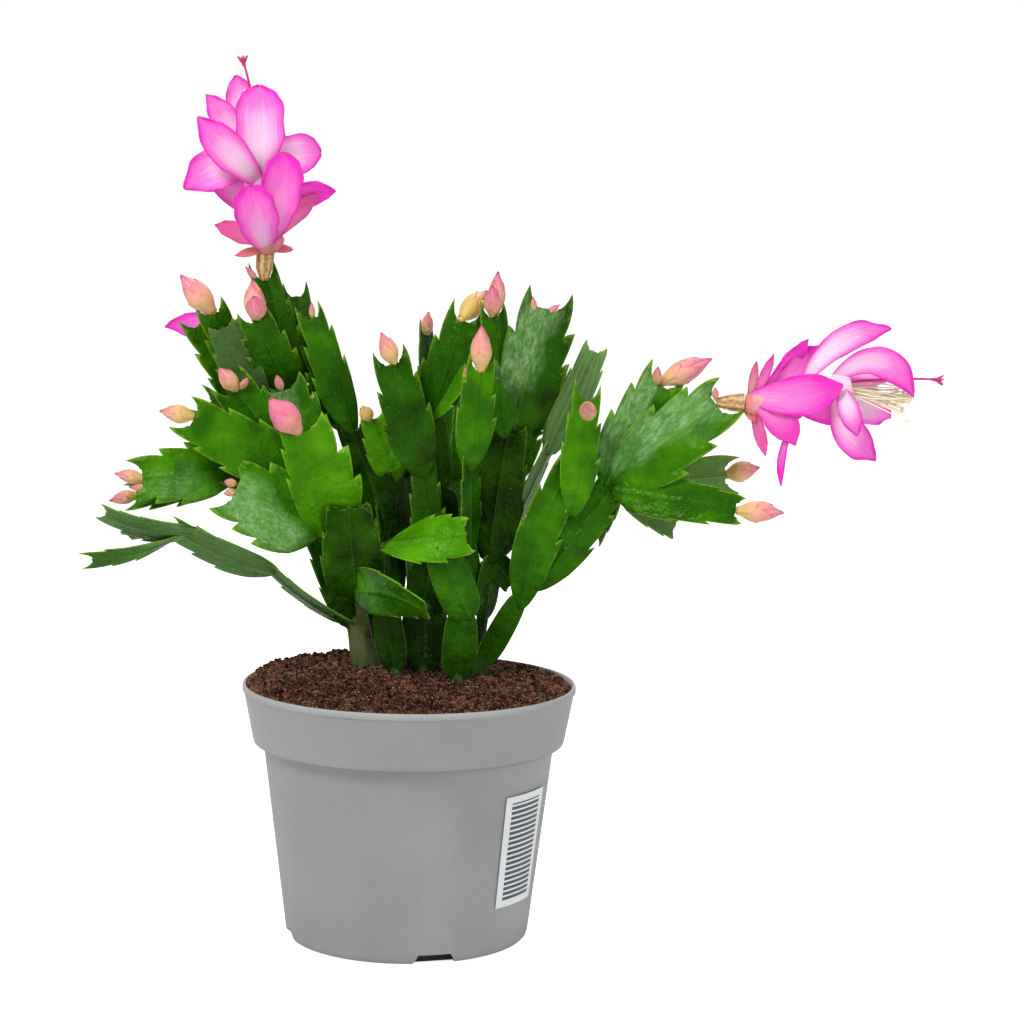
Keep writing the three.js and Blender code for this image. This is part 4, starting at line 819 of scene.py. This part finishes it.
# The centre right stem carries the tallest broad segments and the grey ribbed ones beside them
grow_stem("stem_centre_right", 6, [
    ([(23, 95, 19), (24.5, 107, 18), (26.5, 119, 15)], (3.2, 2.6, 2)),
], [
    leaf((26.3, 117.5, 15), (29, 139, 11), 10, 35, tone=0.3, old=True),
    leaf((26, 117, 14), (20.5, 140, 9), 9, 25, tone=0.35),
    leaf((20.8, 139, 9), (20.5, 172, -3), 11, 48, tone=0.3),
    leaf((20.5, 171, -3), (24, 206, -9), 13, 8, 1),
    leaf((28.5, 138, 11), (34.5, 184.5, 6), 21, -12, 2, 0.1, teeth=0.35),
    leaf((32.5, 183, 5), (28, 225.5, 4), 13, 12, 1, 0.45, teeth=0.8),
    leaf((36, 183.5, 8), (47.5, 228.5, 3), 24, 0, 3, 0.2, wash=0.85),
    leaf((29, 137, 11), (36.5, 127.5, 15), 11, tone=0.2, teeth=0.3),
    leaf((31, 139, 14), (49, 179, 13), 13, 66, tone=0.6, teeth=0.4, matt=1, veins=0.8),
    leaf((49, 177, 13), (64.5, 213.5, 11), 15, 28, 1, 0.72, teeth=0.35, matt=0.9, veins=0.8),
    leaf((35.5, 181.5, 8), (51, 193, 20), 11, 20, tone=0.65),
    leaf((29, 138, 16), (33, 164, 46), 18, 10, 2, 0.4),
    leaf((33, 163, 46), (40, 196, 58), 18, 0, 2, 0.4),
])

# The right stem reaches out to the right, with the open bloom at the end of its broadest segment
grow_stem("stem_right", 7, [
    ([(25, 95, 9), (28, 102.5, 8)], (3.4, 1.3)),
], [
    leaf((27, 100.5, 8), (39.5, 124, 5), 9.5, 15, tone=0.4, old=True),
    leaf((40.5, 121.5, 5), (56, 169, 0), 15, 0, 2, sway=-2.5),
    leaf((58, 155, -1), (62, 196.5, -8), 13, 5, 1, 0.6),
    leaf((46, 128, 4), (73, 166, 3), 15, 8, 2, 0.45),
    leaf((70, 166, 3), (89, 201.5, 0), 20, -6, 2, 0.6, wash=1),
    leaf((74, 166, 1), (110, 194.5, -9), 24, -4, 3, 0.6, wash=1),
    leaf((74, 162, 0), (118, 155.5, -13), 16, -4, 2, cup=0.2, teeth=0.3),
    leaf((73, 164.5, 4), (113.5, 168.5, 11), 20, 10, 1, 0.7, matt=0.9),
    leaf((75.5, 162.5, 5), (95, 149, 12), 15, -30, tone=0.62, teeth=0.3, matt=0.8),
    leaf((73, 162, 5), (66, 145, 8), 10, 35, matt=0.7),
    leaf((72, 166, 5), (84, 178, 40), 18, -20, 2, 0.4),
])


# Areoles: a tuft of tan bristles in the hollow at the end of every segment, and a smaller one in each notch
# of its edge. Each bristle is a thin three-sided spike.
def tufts(name, spots_and_ways):
    draw = random.Random(21)
    points, faces = [], []
    for spot, way, count, length in spots_and_ways:
        side = way.orthogonal().normalized()
        other = way.cross(side)
        for _ in range(count):
            lean = side * draw.gauss(0, 0.5) + other * draw.gauss(0, 0.5)
            tip = spot + (way + lean).normalized() * length * draw.uniform(0.5, 1.1)
            root = spot + lean * 0.0003 - way * 0.0003
            start = len(points)
            for angle in (0, 2.1, 4.2):
                points.append(root + (side * math.cos(angle) + other * math.sin(angle)) * 0.00007)
            points.append(tip)
            faces += [tuple(start + corner for corner in face)
                      for face in ((0, 1, 3), (1, 2, 3), (2, 0, 3), (2, 1, 0))]
    return meshed(name, points, faces)


tan_bristle = two_tone("tan_bristle", 0.6, 0.002, (0.3, 0.17, 0.06), (0.72, 0.55, 0.3), 0.0005)
keep(tufts("areole_bristles", areoles), "areole_bristles", tan_bristle, "segment_green")


# Flower buds: each one is a small pointed cone of wrapped tepals that sits at the end of a segment. It goes
# from yellow at its foot over peach to pink at its tip. One bud is modelled, and every other is a copy.
NECK, BELLY, FIRST_ROW = 0.12, 0.48, 0.04
BUD_OVERLAP, BELLY_SHARE = 0.0026, 0.95


def girth(t):
    """How wide the bud is, along its length: a short neck, a round belly and a drawn-out tip."""
    if t < NECK:
        return 0.28 + t
    if t < BELLY:
        return 0.4 + 0.6 * math.sin(math.pi / 2 * (t - NECK) / (BELLY - NECK))
    return max(0.0, 1 - ((t - BELLY) / (1 - BELLY)) ** 1.9)


def bud_skin(t, angle, proud):
    radius = girth(min(t, 1.0)) + proud
    return Vector((radius * math.cos(angle), radius * math.sin(angle), t))


bpy.ops.mesh.primitive_uv_sphere_add(segments=20, ring_count=16, radius=1)
bud_core = bpy.context.object
for vertex in bud_core.data.vertices:
    t = (vertex.co.z + 1) / 2
    at_pole = t in (0, 1)
    vertex.co = Vector((0, 0, t)) if at_pole else bud_skin(t, math.atan2(vertex.co.y, vertex.co.x), 0)
bud_pieces = [bud_core]
# Three rings of tepals: how many, how far turned, how wide, how far up they reach and how proud they stand
for count, turn, spread, tip, proud in (
        (3, 0.3, 1.15, 0.5, 0.1), (3, 1.35, 1.1, 0.8, 0.07), (4, 0.6, 0.95, 1.03, 0.04)):
    for index in range(count):
        tepal = sheet(6, 8, 2)
        for vertex in tepal.data.vertices:
            u, v = vertex.co.x, (vertex.co.y + 1) / 2
            angle = turn + index * 2 * math.pi / count + u * spread * (1.02 - v ** 2.6)
            flare = proud + 0.05 * (1 - abs(u)) * v
            vertex.co = bud_skin(FIRST_ROW + (tip - FIRST_ROW) * v, angle, flare)
        apply_modifier(tepal, "SOLIDIFY", thickness=0.05, offset=-1)
        bud_pieces.append(tepal)
bud_model = fused(bud_pieces)
face_out()
marked(bud_model, "rise", [vertex.co.z for vertex in bud_model.data.vertices])


def map_noise(tree, grain, detail):
    """Streaks that run along a piece's own map."""
    place = add(tree, "ShaderNodeTexCoord").outputs["UV"]
    stretched = add(tree, "ShaderNodeMapping", {"Vector": place, "Scale": grain}).outputs["Vector"]
    return add(tree, "ShaderNodeTexNoise", {"Vector": stretched, "Scale": 1.0, "Detail": detail}).outputs["Fac"]


bud_peach, tree, shader = surface("bud_peach", 0.34, {
    "Subsurface Weight": 0.2, "Subsurface Radius": (1.0, 0.5, 0.35), "Subsurface Scale": 0.001})
blush = plus(mark(tree, "blush"), spots(tree, 0.002, 3, 0.3, 0.7, -0.12, 0.12))
reddened = plus(mark(tree, "rise"), blush)
warm = blend(ranged(reddened, 0.15, 0.7), (0.84, 0.56, 0.14), (0.93, 0.48, 0.27))
rosy = blend(ranged(reddened, 0.55, 1.15), warm, (0.88, 0.21, 0.32))
streak = map_noise(tree, (26, 1.5, 1), 2)
streaked = blend(ranged(streak, 0.5, 0.75, 0, 0.32), rosy, (0.66, 0.12, 0.13))
finish_surface(shader, streaked, None, streak, 0.0002)


def grow_buds(stem, rows):
    """A stem's buds: copies of the modelled one between foot and tip, each with its width and redness."""
    for number, (foot, tip, width, redness) in enumerate(rows, 1):
        foot, tip = seen(foot), seen(tip)
        axis = (tip - foot).normalized()
        start = foot - axis * BUD_OVERLAP
        name = f"bud_{stem}_{number}"
        piece = placed(name, bud_model.data.copy())
        half = width / 2000 * BELLY_SHARE
        size = Matrix.Diagonal((half, half, (tip - start).length, 1))
        lean = axis.to_track_quat("Z", "Y").to_matrix().to_4x4()
        piece.data.transform(Matrix.Translation(start) @ lean @ size)
        marked(piece, "blush", redness)
        keep(piece, name + "_tepals", bud_peach, "bud_peach", name)


grow_buds("left", [
    ((-97, 164.7, 2), (-105.5, 166.2, 0), 5, 0.1),
    ((-96.6, 161.5, 2), (-100.6, 161.2, 1), 3, 0.2),
    ((-99.4, 158.4, 14), (-107.5, 156.4, 12), 5, 0.2),
    ((-64, 163.3, -6), (-66.8, 163.8, -9), 3, 0),
    ((-64.2, 160, -6), (-67, 159.4, -9), 3, 0),
    ((-79.5, 187.2, -6), (-89.5, 188.7, -8), 6.4, -0.05),
    ((-63.6, 197.8, 2), (-68.7, 204.2, -2), 6.2, 0.1),
    ((-60.4, 198.2, 1), (-58.4, 200.8, -2), 2.6, 0.2),
    ((-47.3, 198.2, 7), (-48.4, 202, 5), 3.2, 0.2),
    ((-41.6, 183.1, -14.3), (-50.8, 193.4, -19), 10, 0.55),
])
grow_buds("back", [
    ((-72, 225, 17), (-82.2, 236.5, 16), 9, 0.25),
    ((-55.4, 223.4, 3.1), (-56.6, 229.6, -4.4), 7, 0.4),
    ((-55.9, 222.8, 7.6), (-57, 235.4, 9), 7.6, 0.15),
    ((-56.6, 236.6, 11.5), (-59.6, 240.2, 9.5), 2.4, 0.3),
])
grow_buds("middle", [
    ((-36, 223.6, 9), (-36.3, 228, 7), 2.2, 0.1),
    ((-16.2, 188, 5), (-17.8, 191.4, 3), 5, -0.45),
])
grow_buds("centre", [
    ((-7.4, 208, -2), (-11.4, 217.4, -4), 6.4, 0.1),
    ((4.2, 218, 16), (5.2, 225, 15), 4.6, 0.15),
    ((17.6, 223.8, 6), (25.6, 232.8, 17), 7.6, -0.15),
    ((18.6, 202.6, 0.2), (19.4, 206.6, -2), 2.2, 0.1),
])
grow_buds("centre_right", [
    ((24, 206, -9), (24, 220.4, -12), 7.4, 0.15),
    ((27.7, 225.6, 2.6), (27.8, 234.6, -5), 6, 0.3),
    ((28.8, 226, 6.4), (29.6, 239.4, 9.5), 6.4, 0.3),
    ((42.5, 227.6, 3), (42.2, 231, 2), 2.4, 0.1),
    ((48.4, 226, 3), (51.6, 228.4, 2), 2.6, 0.3),
])
grow_buds("right", [
    ((62.8, 189, -7), (61.8, 193.2, -21), 6, 0),
    ((89.8, 202, 0), (106, 209.8, -2), 8.4, 0.32),
    ((86.8, 202, -2), (87.2, 206.8, -7), 3.4, 0.1),
    ((108, 197, -10.6), (107.8, 199.8, -13), 2.4, 0.1),
    ((118.6, 155.5, -13), (133.5, 155, -16), 7.6, 0.2),
    ((114.2, 168.8, 11), (124.4, 171.2, 11), 7.4, 0.1),
])
bpy.data.objects.remove(bud_model)


# Open blooms: a tan, ribbed ovary on the segment's tip, a red ring of small bracts, and a pale tube with two
# tiers of silky petals, white inside and magenta at their edges. Cream stamens and one long style stand in it.
petal_pink, tree, shader = surface("petal_pink", 0.45, {
    "Subsurface Weight": 0.3, "Subsurface Radius": (1.0, 0.6, 0.9), "Subsurface Scale": 0.002})
across, along = mapped(tree)
off_rib = times(off_middle(across), 2)
vein = map_noise(tree, (34, 2.2, 1), 3)
edge_depth = times(calc("POWER", off_rib, 3.0), 1.05)
tip_depth = times(calc("POWER", along, 2.4), 0.68)
tone_depth = times(calc("SUBTRACT", mark(tree, "tone"), 0.5), 1.25)
fading = plus(plus(edge_depth, tip_depth), tone_depth)
veined = plus(fading, ranged(vein, 0.3, 0.7, -0.07, 0.07))
depth_of_pink = plus(veined, ranged(off_rib, 0.88, 1, 0, 0.42))
pale = blend(ranged(depth_of_pink, 0.0, 0.45), (0.96, 0.72, 0.87), (0.95, 0.19, 0.63))
pink = blend(ranged(depth_of_pink, 0.4, 0.95), pale, (0.83, 0.008, 0.48))
rust = blend(ranged(along, 0.1, 0.8), (0.5, 0.24, 0.08), (0.8, 0.13, 0.2))
finish_surface(shader, blend(mark(tree, "wash"), pink, rust), None, vein, 0.00025)

ovary_tan, tree, shader = surface("ovary_tan", 0.4, {"Subsurface Weight": 0.15, "Subsurface Scale": 0.001})
high_low = plus(spots(tree, 0.0012, 4, 0.3, 0.7, -0.45, 0.45), mark(tree, "ridge"))
tan = blend(ranged(high_low, 0.25, 0.95), (0.34, 0.15, 0.05), (0.7, 0.47, 0.2))
finish_surface(shader, tan, None, high_low, 0.0002)

tube_white, tree, shader = surface("tube_white", 0.45, {"Subsurface Weight": 0.3, "Subsurface Scale": 0.002})
silky = blend(spots(tree, 0.006, 3, 0.35, 0.65), (0.92, 0.5, 0.74), (0.93, 0.78, 0.86))
flushed = blend(ranged(mark(tree, "rise"), 0.0, 0.4), (0.72, 0.2, 0.16), silky)
finish_surface(shader, flushed, None, spots(tree, 0.001))

style_magenta = two_tone("style_magenta", 0.4, 0.003, (0.42, 0.008, 0.1), (0.75, 0.02, 0.27), 0.0008)
stamen_cream = two_tone("stamen_cream", 0.5, 0.002, (0.93, 0.82, 0.5), (0.97, 0.93, 0.78), 0.0005)


def petal_edge(draw, blunt):
    """Half of a petal's outline: narrow foot, broad middle, and a point or a blunt tip, slightly ruffled."""
    phase, depth = next(draw) * 6.3, 0.35 + next(draw) * 0.5
    belly, tip = (0.9, 0.46, 0), (0.03, 1.03, 0)
    shoulder = (0.76 + 0.12 * blunt, 0.81 + 0.06 * blunt, 0)
    outline = [*arc((0.28, 0, 0), (0.66, 0.2, 0), belly, 13),
               *arc(belly, (1.03 + 0.03 * blunt, 0.66 + 0.04 * blunt, 0), shoulder, 10),
               *arc(shoulder, (0.44 + 0.24 * blunt, 0.93 + 0.07 * blunt, 0), tip, 12), tip]
    return inward([(out * (1 + 0.04 * blunt * math.sin(phase + index * 0.9)), way,
                    depth * math.sin(phase + index * 0.55) * min(1, index / 12))
                   for index, (out, way, _) in enumerate(outline)])


def petal(row, seed):
    draw = seeded(seed)
    return blade(row, petal_edge(draw, row.blunt), petal_edge(draw, row.blunt), (0.2, 1.03), 0.13, 0)


OVARY_RIDGES, STIGMA_LOBES, MORE_STAMENS = 7, 6, 28


def bloom(name, seed, ovary, tube, petals, style, star, anthers):
    """One open bloom. Ovary, tube and style are rods, each with its points and its radii there; star says
    where the stigma sits and where it points, and anthers where the first stamens end."""
    draw = random.Random(seed)
    body = tapered(traced(ovary[0]), ovary[1], 24, 6)
    first, *_, last = traced(ovary[0])
    axis = (last - first).normalized()
    side = axis.orthogonal().normalized()
    ridges = []
    for vertex in body.data.vertices:
        off = vertex.co - first
        off -= axis * off.dot(axis)
        angle = math.atan2(off.dot(axis.cross(side)), off.dot(side))
        ridges.append(abs(math.cos(angle * OVARY_RIDGES / 2)))
        vertex.co += off * 0.15 * (ridges[-1] - 0.7)
    marked(body, "ridge", ridges)
    keep(body, name + "_ovary_body", ovary_tan, "ovary_tan", name + "_ovary")

    inside = traced(tube[0])
    pipe = tapered(inside, tube[1], 20, 6)
    length = inside[-1] - inside[0]
    way = length / length.length_squared
    marked(pipe, "rise", [(vertex.co - inside[0]).dot(way) for vertex in pipe.data.vertices])
    blades = [petal(row, seed * 50 + index) for index, row in enumerate(petals)]
    keep(fused(blades), name + "_petal_blades", petal_pink, "petal_pink", name + "_petals")
    keep(pipe, name + "_tube", tube_white, "petal_pink")

    rods = [tapered(traced(style[0]), style[1], 10)]
    centre, toward = traced(star)
    outlook = toward - centre
    side = outlook.orthogonal().normalized()
    for lobe in range(STIGMA_LOBES):
        round_it = Matrix.Rotation(lobe * 2 * math.pi / STIGMA_LOBES, 3, outlook.normalized())
        outward = round_it @ side * 0.0019
        end = centre + outlook * 0.8 + outward
        bend = centre + outlook * 0.35 + outward * 0.5
        rods.append(tapered([centre - outlook * 0.1, bend, end], (0.5, 0.45, 0.2), 6, 3))
    keep(fused(rods), name + "_style_rod", style_magenta, "style_magenta", name + "_style")

    mouth = inside[4].lerp(inside[3], 0.3)
    threads = []
    ends = traced(anthers)
    for _ in range(MORE_STAMENS):
        one, two = draw.sample(ends[:len(anthers)], 2)
        stray = Vector([draw.gauss(0, 0.0011) for _ in range(3)])
        ends.append(one.lerp(two, draw.uniform(-0.2, 0.9)) + stray)
    for end in ends:
        start = mouth + Vector([draw.gauss(0, 0.0009) for _ in range(3)])
        middle = start.lerp(end, 0.5) + Vector([draw.gauss(0, 0.0007) for _ in range(3)])
        tip = end + (end - middle).normalized() * 0.0016
        threads.append(tapered([start, middle, end, tip], (0.28, 0.26, 0.24, 0.22), 6, 4))
        threads.append(tapered([end, end.lerp(tip, 0.5), tip], (0.35, 0.8, 0.3), 6, 2))
    keep(fused(threads), name + "_stamen_threads", stamen_cream, "stamen_cream", name + "_stamens")


bloom(
    "bloom_top", 11,
    ([(-53, 235.5, 12), (-53, 240, 11.4), (-52.6, 245, 10.6)], (1.6, 3, 3.2)),
    ([(-52.5, 245.3, 10.6), (-52.4, 248, 10), (-53.2, 256, 8.6), (-55, 268, 7.4), (-57, 282, 7)],
     (3, 4.3, 4.6, 5, 5.6)),
    [
        leaf((-53.5, 246.5, 9), (-63, 244, 6), 3.2, 0, 1, wash=1),
        leaf((-51.5, 247, 9), (-43, 246.4, 6), 3.2, 0, -1, wash=1),
        leaf((-52.6, 246.5, 6.5), (-53, 252.5, 2), 7, wash=0.8),
        leaf((-50.6, 246.5, 8), (-47.2, 252.5, 5), 6, wash=0.8),
        leaf((-54, 249, 8), (-70, 254.5, 3), 8, 20, 1, 0.8, wash=0.55),
        leaf((-53, 248.5, 6), (-58.5, 268, -7), 15, 0, 3, 0.66, cup=0.25, blunt=1),
        leaf((-50, 252, 6), (-46, 279.5, -1), 15, 10, 3, 0.7, cup=0.2, blunt=0.9),
        leaf((-51, 250, 7), (-34.5, 265.5, 7), 8, 20, tone=0.75, sway=-1, wash=0.5),
        leaf((-51, 260.5, 10), (-28.6, 267, 10), 10.5, 20, 2, 0.9, sway=-2.5),
        leaf((-54.5, 258, 9), (-73, 274, 10), 10.5, 10, tone=0.6),
        leaf((-53.5, 252, 12), (-57, 262, 30), 13, 0, -2, 0.8),
        leaf((-57, 274, 8), (-80.5, 267.5, 4), 16, 10, 4, 0.55, sway=3),
        leaf((-56, 271, 3), (-76, 291.5, -6.5), 13.5, -6, 3, 0.55),
        leaf((-57, 279, 9), (-73, 299.5, 12), 10.5, 0, 2, 0.55),
        leaf((-57, 281, 11), (-63, 306, 17), 12, 0, -2, 0.4, blunt=0.5),
        leaf((-55, 271, 4), (-55, 302.5, -1), 17.5, 5, 3, blunt=1),
        leaf((-55, 273, 7), (-34, 280.5, 8), 14.5, 8, 4, 0.45, sway=-3, blunt=0.8),
        leaf((-56, 277, 10), (-48, 292, 26), 13, 0, -2),
    ],
    ([(-56.8, 279, 7), (-58, 300, 6), (-60, 309.4, 5), (-60.6, 311, 5)], (0.55, 0.45, 0.4, 0.8)),
    [(-60.6, 311, 5), (-61, 314, 5)],
    [(-60, 296, 12), (-57, 297, 13), (-54, 296, 12), (-58.5, 293, 10), (-55.5, 293, 10), (-57, 299, 14)],
)
bloom(
    "bloom_right", 12,
    ([(108.4, 194.4, -8.6), (113.5, 194.4, -9), (118.4, 194.4, -9.4)], (1.6, 2.9, 3.5)),
    ([(118.8, 194.4, -9.4), (121.5, 194.2, -9.6), (130, 197, -10.5), (143, 199, -11), (156, 201, -11)],
     (3.2, 4.6, 4.2, 4.4, 5.6)),
    [
        leaf((120.5, 197, -10), (122.4, 209, -12), 3.2, wash=0.7),
        leaf((122.5, 197, -11), (128.4, 211.5, -14), 3.6, tone=0.8, wash=0.3),
        leaf((122, 191.5, -11), (126.5, 176, -14), 4.6, tone=0.9, wash=0.5),
        leaf((119.6, 191.5, -10), (122.6, 187.8, -13), 3, wash=1),
        leaf((123.5, 193.5, -12), (137, 180, -17), 11.5, 0, 2, 0.85, sway=-2, wash=0.15),
        leaf((135.5, 184, -16), (132.5, 165, -17), 3, tone=0.9, sway=1.5),
        leaf((123.5, 197, -12.5), (153, 201, -19), 15.5, -6, 2, 0.8, sway=2),
        leaf((126, 198, -8), (140.5, 217, -6), 7, 20, tone=0.9),
        leaf((129, 199, -7), (146.5, 215, -3), 10, 0, 2, 0.8),
        leaf((134, 197, -7), (155, 188.5, -5), 10, 20, tone=0.85),
        leaf((126, 195, -6), (143, 193, 12), 12, 0, -2, 0.8),
        leaf((142, 203.5, -10), (169.5, 221.5, -4), 10.5, -10, 3, sway=-4.5),
        leaf((153, 203, -12.5), (178.8, 198.5, -16), 11.5, 14, 3, 0.6, sway=-10),
        leaf((153, 198, -8), (171, 190, 0), 12, 10, 2, 0.45),
        leaf((152.5, 197, -14), (166, 175, -13), 12.5, 0, 3, 0.55, sway=3),
        leaf((154, 198, -15.5), (159.5, 183.5, -22), 8, 0, 3),
        leaf((153, 204, -7), (173, 203, -4), 8, sway=-3),
        leaf((154, 202, -6), (168, 207, 10), 13, 0, -2),
    ],
    ([(152, 202, -11.5), (168, 203.4, -12), (185, 203.8, -12.6), (187.4, 203.6, -12.6)],
     (0.55, 0.45, 0.4, 0.8)),
    [(187.4, 203.6, -12.6), (190.4, 203.4, -12.6)],
    [(175, 199, -12), (176.5, 195.5, -13), (175, 192, -11), (173.5, 196.5, -9), (176.5, 189, -12),
     (174, 201, -10)],
)
bloom(
    "bloom_back", 13,
    ([(-55.8, 207.2, 42.5), (-57.8, 207.7, 48), (-59.4, 208, 52.4)], (1.6, 3, 3.2)),
    ([(-59.5, 208, 52.7), (-60.4, 208.2, 55), (-63, 208.6, 62), (-66.5, 209, 72), (-70, 209, 82)],
     (3, 4.3, 4, 3.8, 5.2)),
    [
        leaf((-60, 208, 54), (-87, 218.8, 58), 11, -10, 2, 0.7, sway=5.5),
        leaf((-61, 208, 56), (-66, 193, 66), 12, 0, 2, 0.8),
        leaf((-61, 208, 56), (-49, 203, 72), 12, 0, 2, 0.8),
        leaf((-62, 209, 58), (-56, 219, 72), 12, 0, 2, 0.8),
        leaf((-70, 210, 78), (-77, 219.5, 93), 10, 0, 2),
        leaf((-68, 208, 78), (-64.5, 194, 92), 11, 0, 2),
        leaf((-67, 208, 78), (-62, 197, 93), 11, 0, 2),
        leaf((-67, 210, 78), (-63, 218, 94), 11, 0, 2),
    ],
    ([(-69.6, 209, 80.5), (-71.6, 209, 92), (-73.2, 208.5, 103), (-73.4, 208.4, 105)],
     (0.7, 0.6, 0.55, 0.9)),
    [(-73.4, 208.4, 105), (-73.9, 208.2, 108)],
    [(-71, 206, 96), (-72.4, 208, 97), (-69, 208, 97), (-71.4, 211, 96), (-69.6, 205, 94)],
)


visual_low, visual_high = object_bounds()
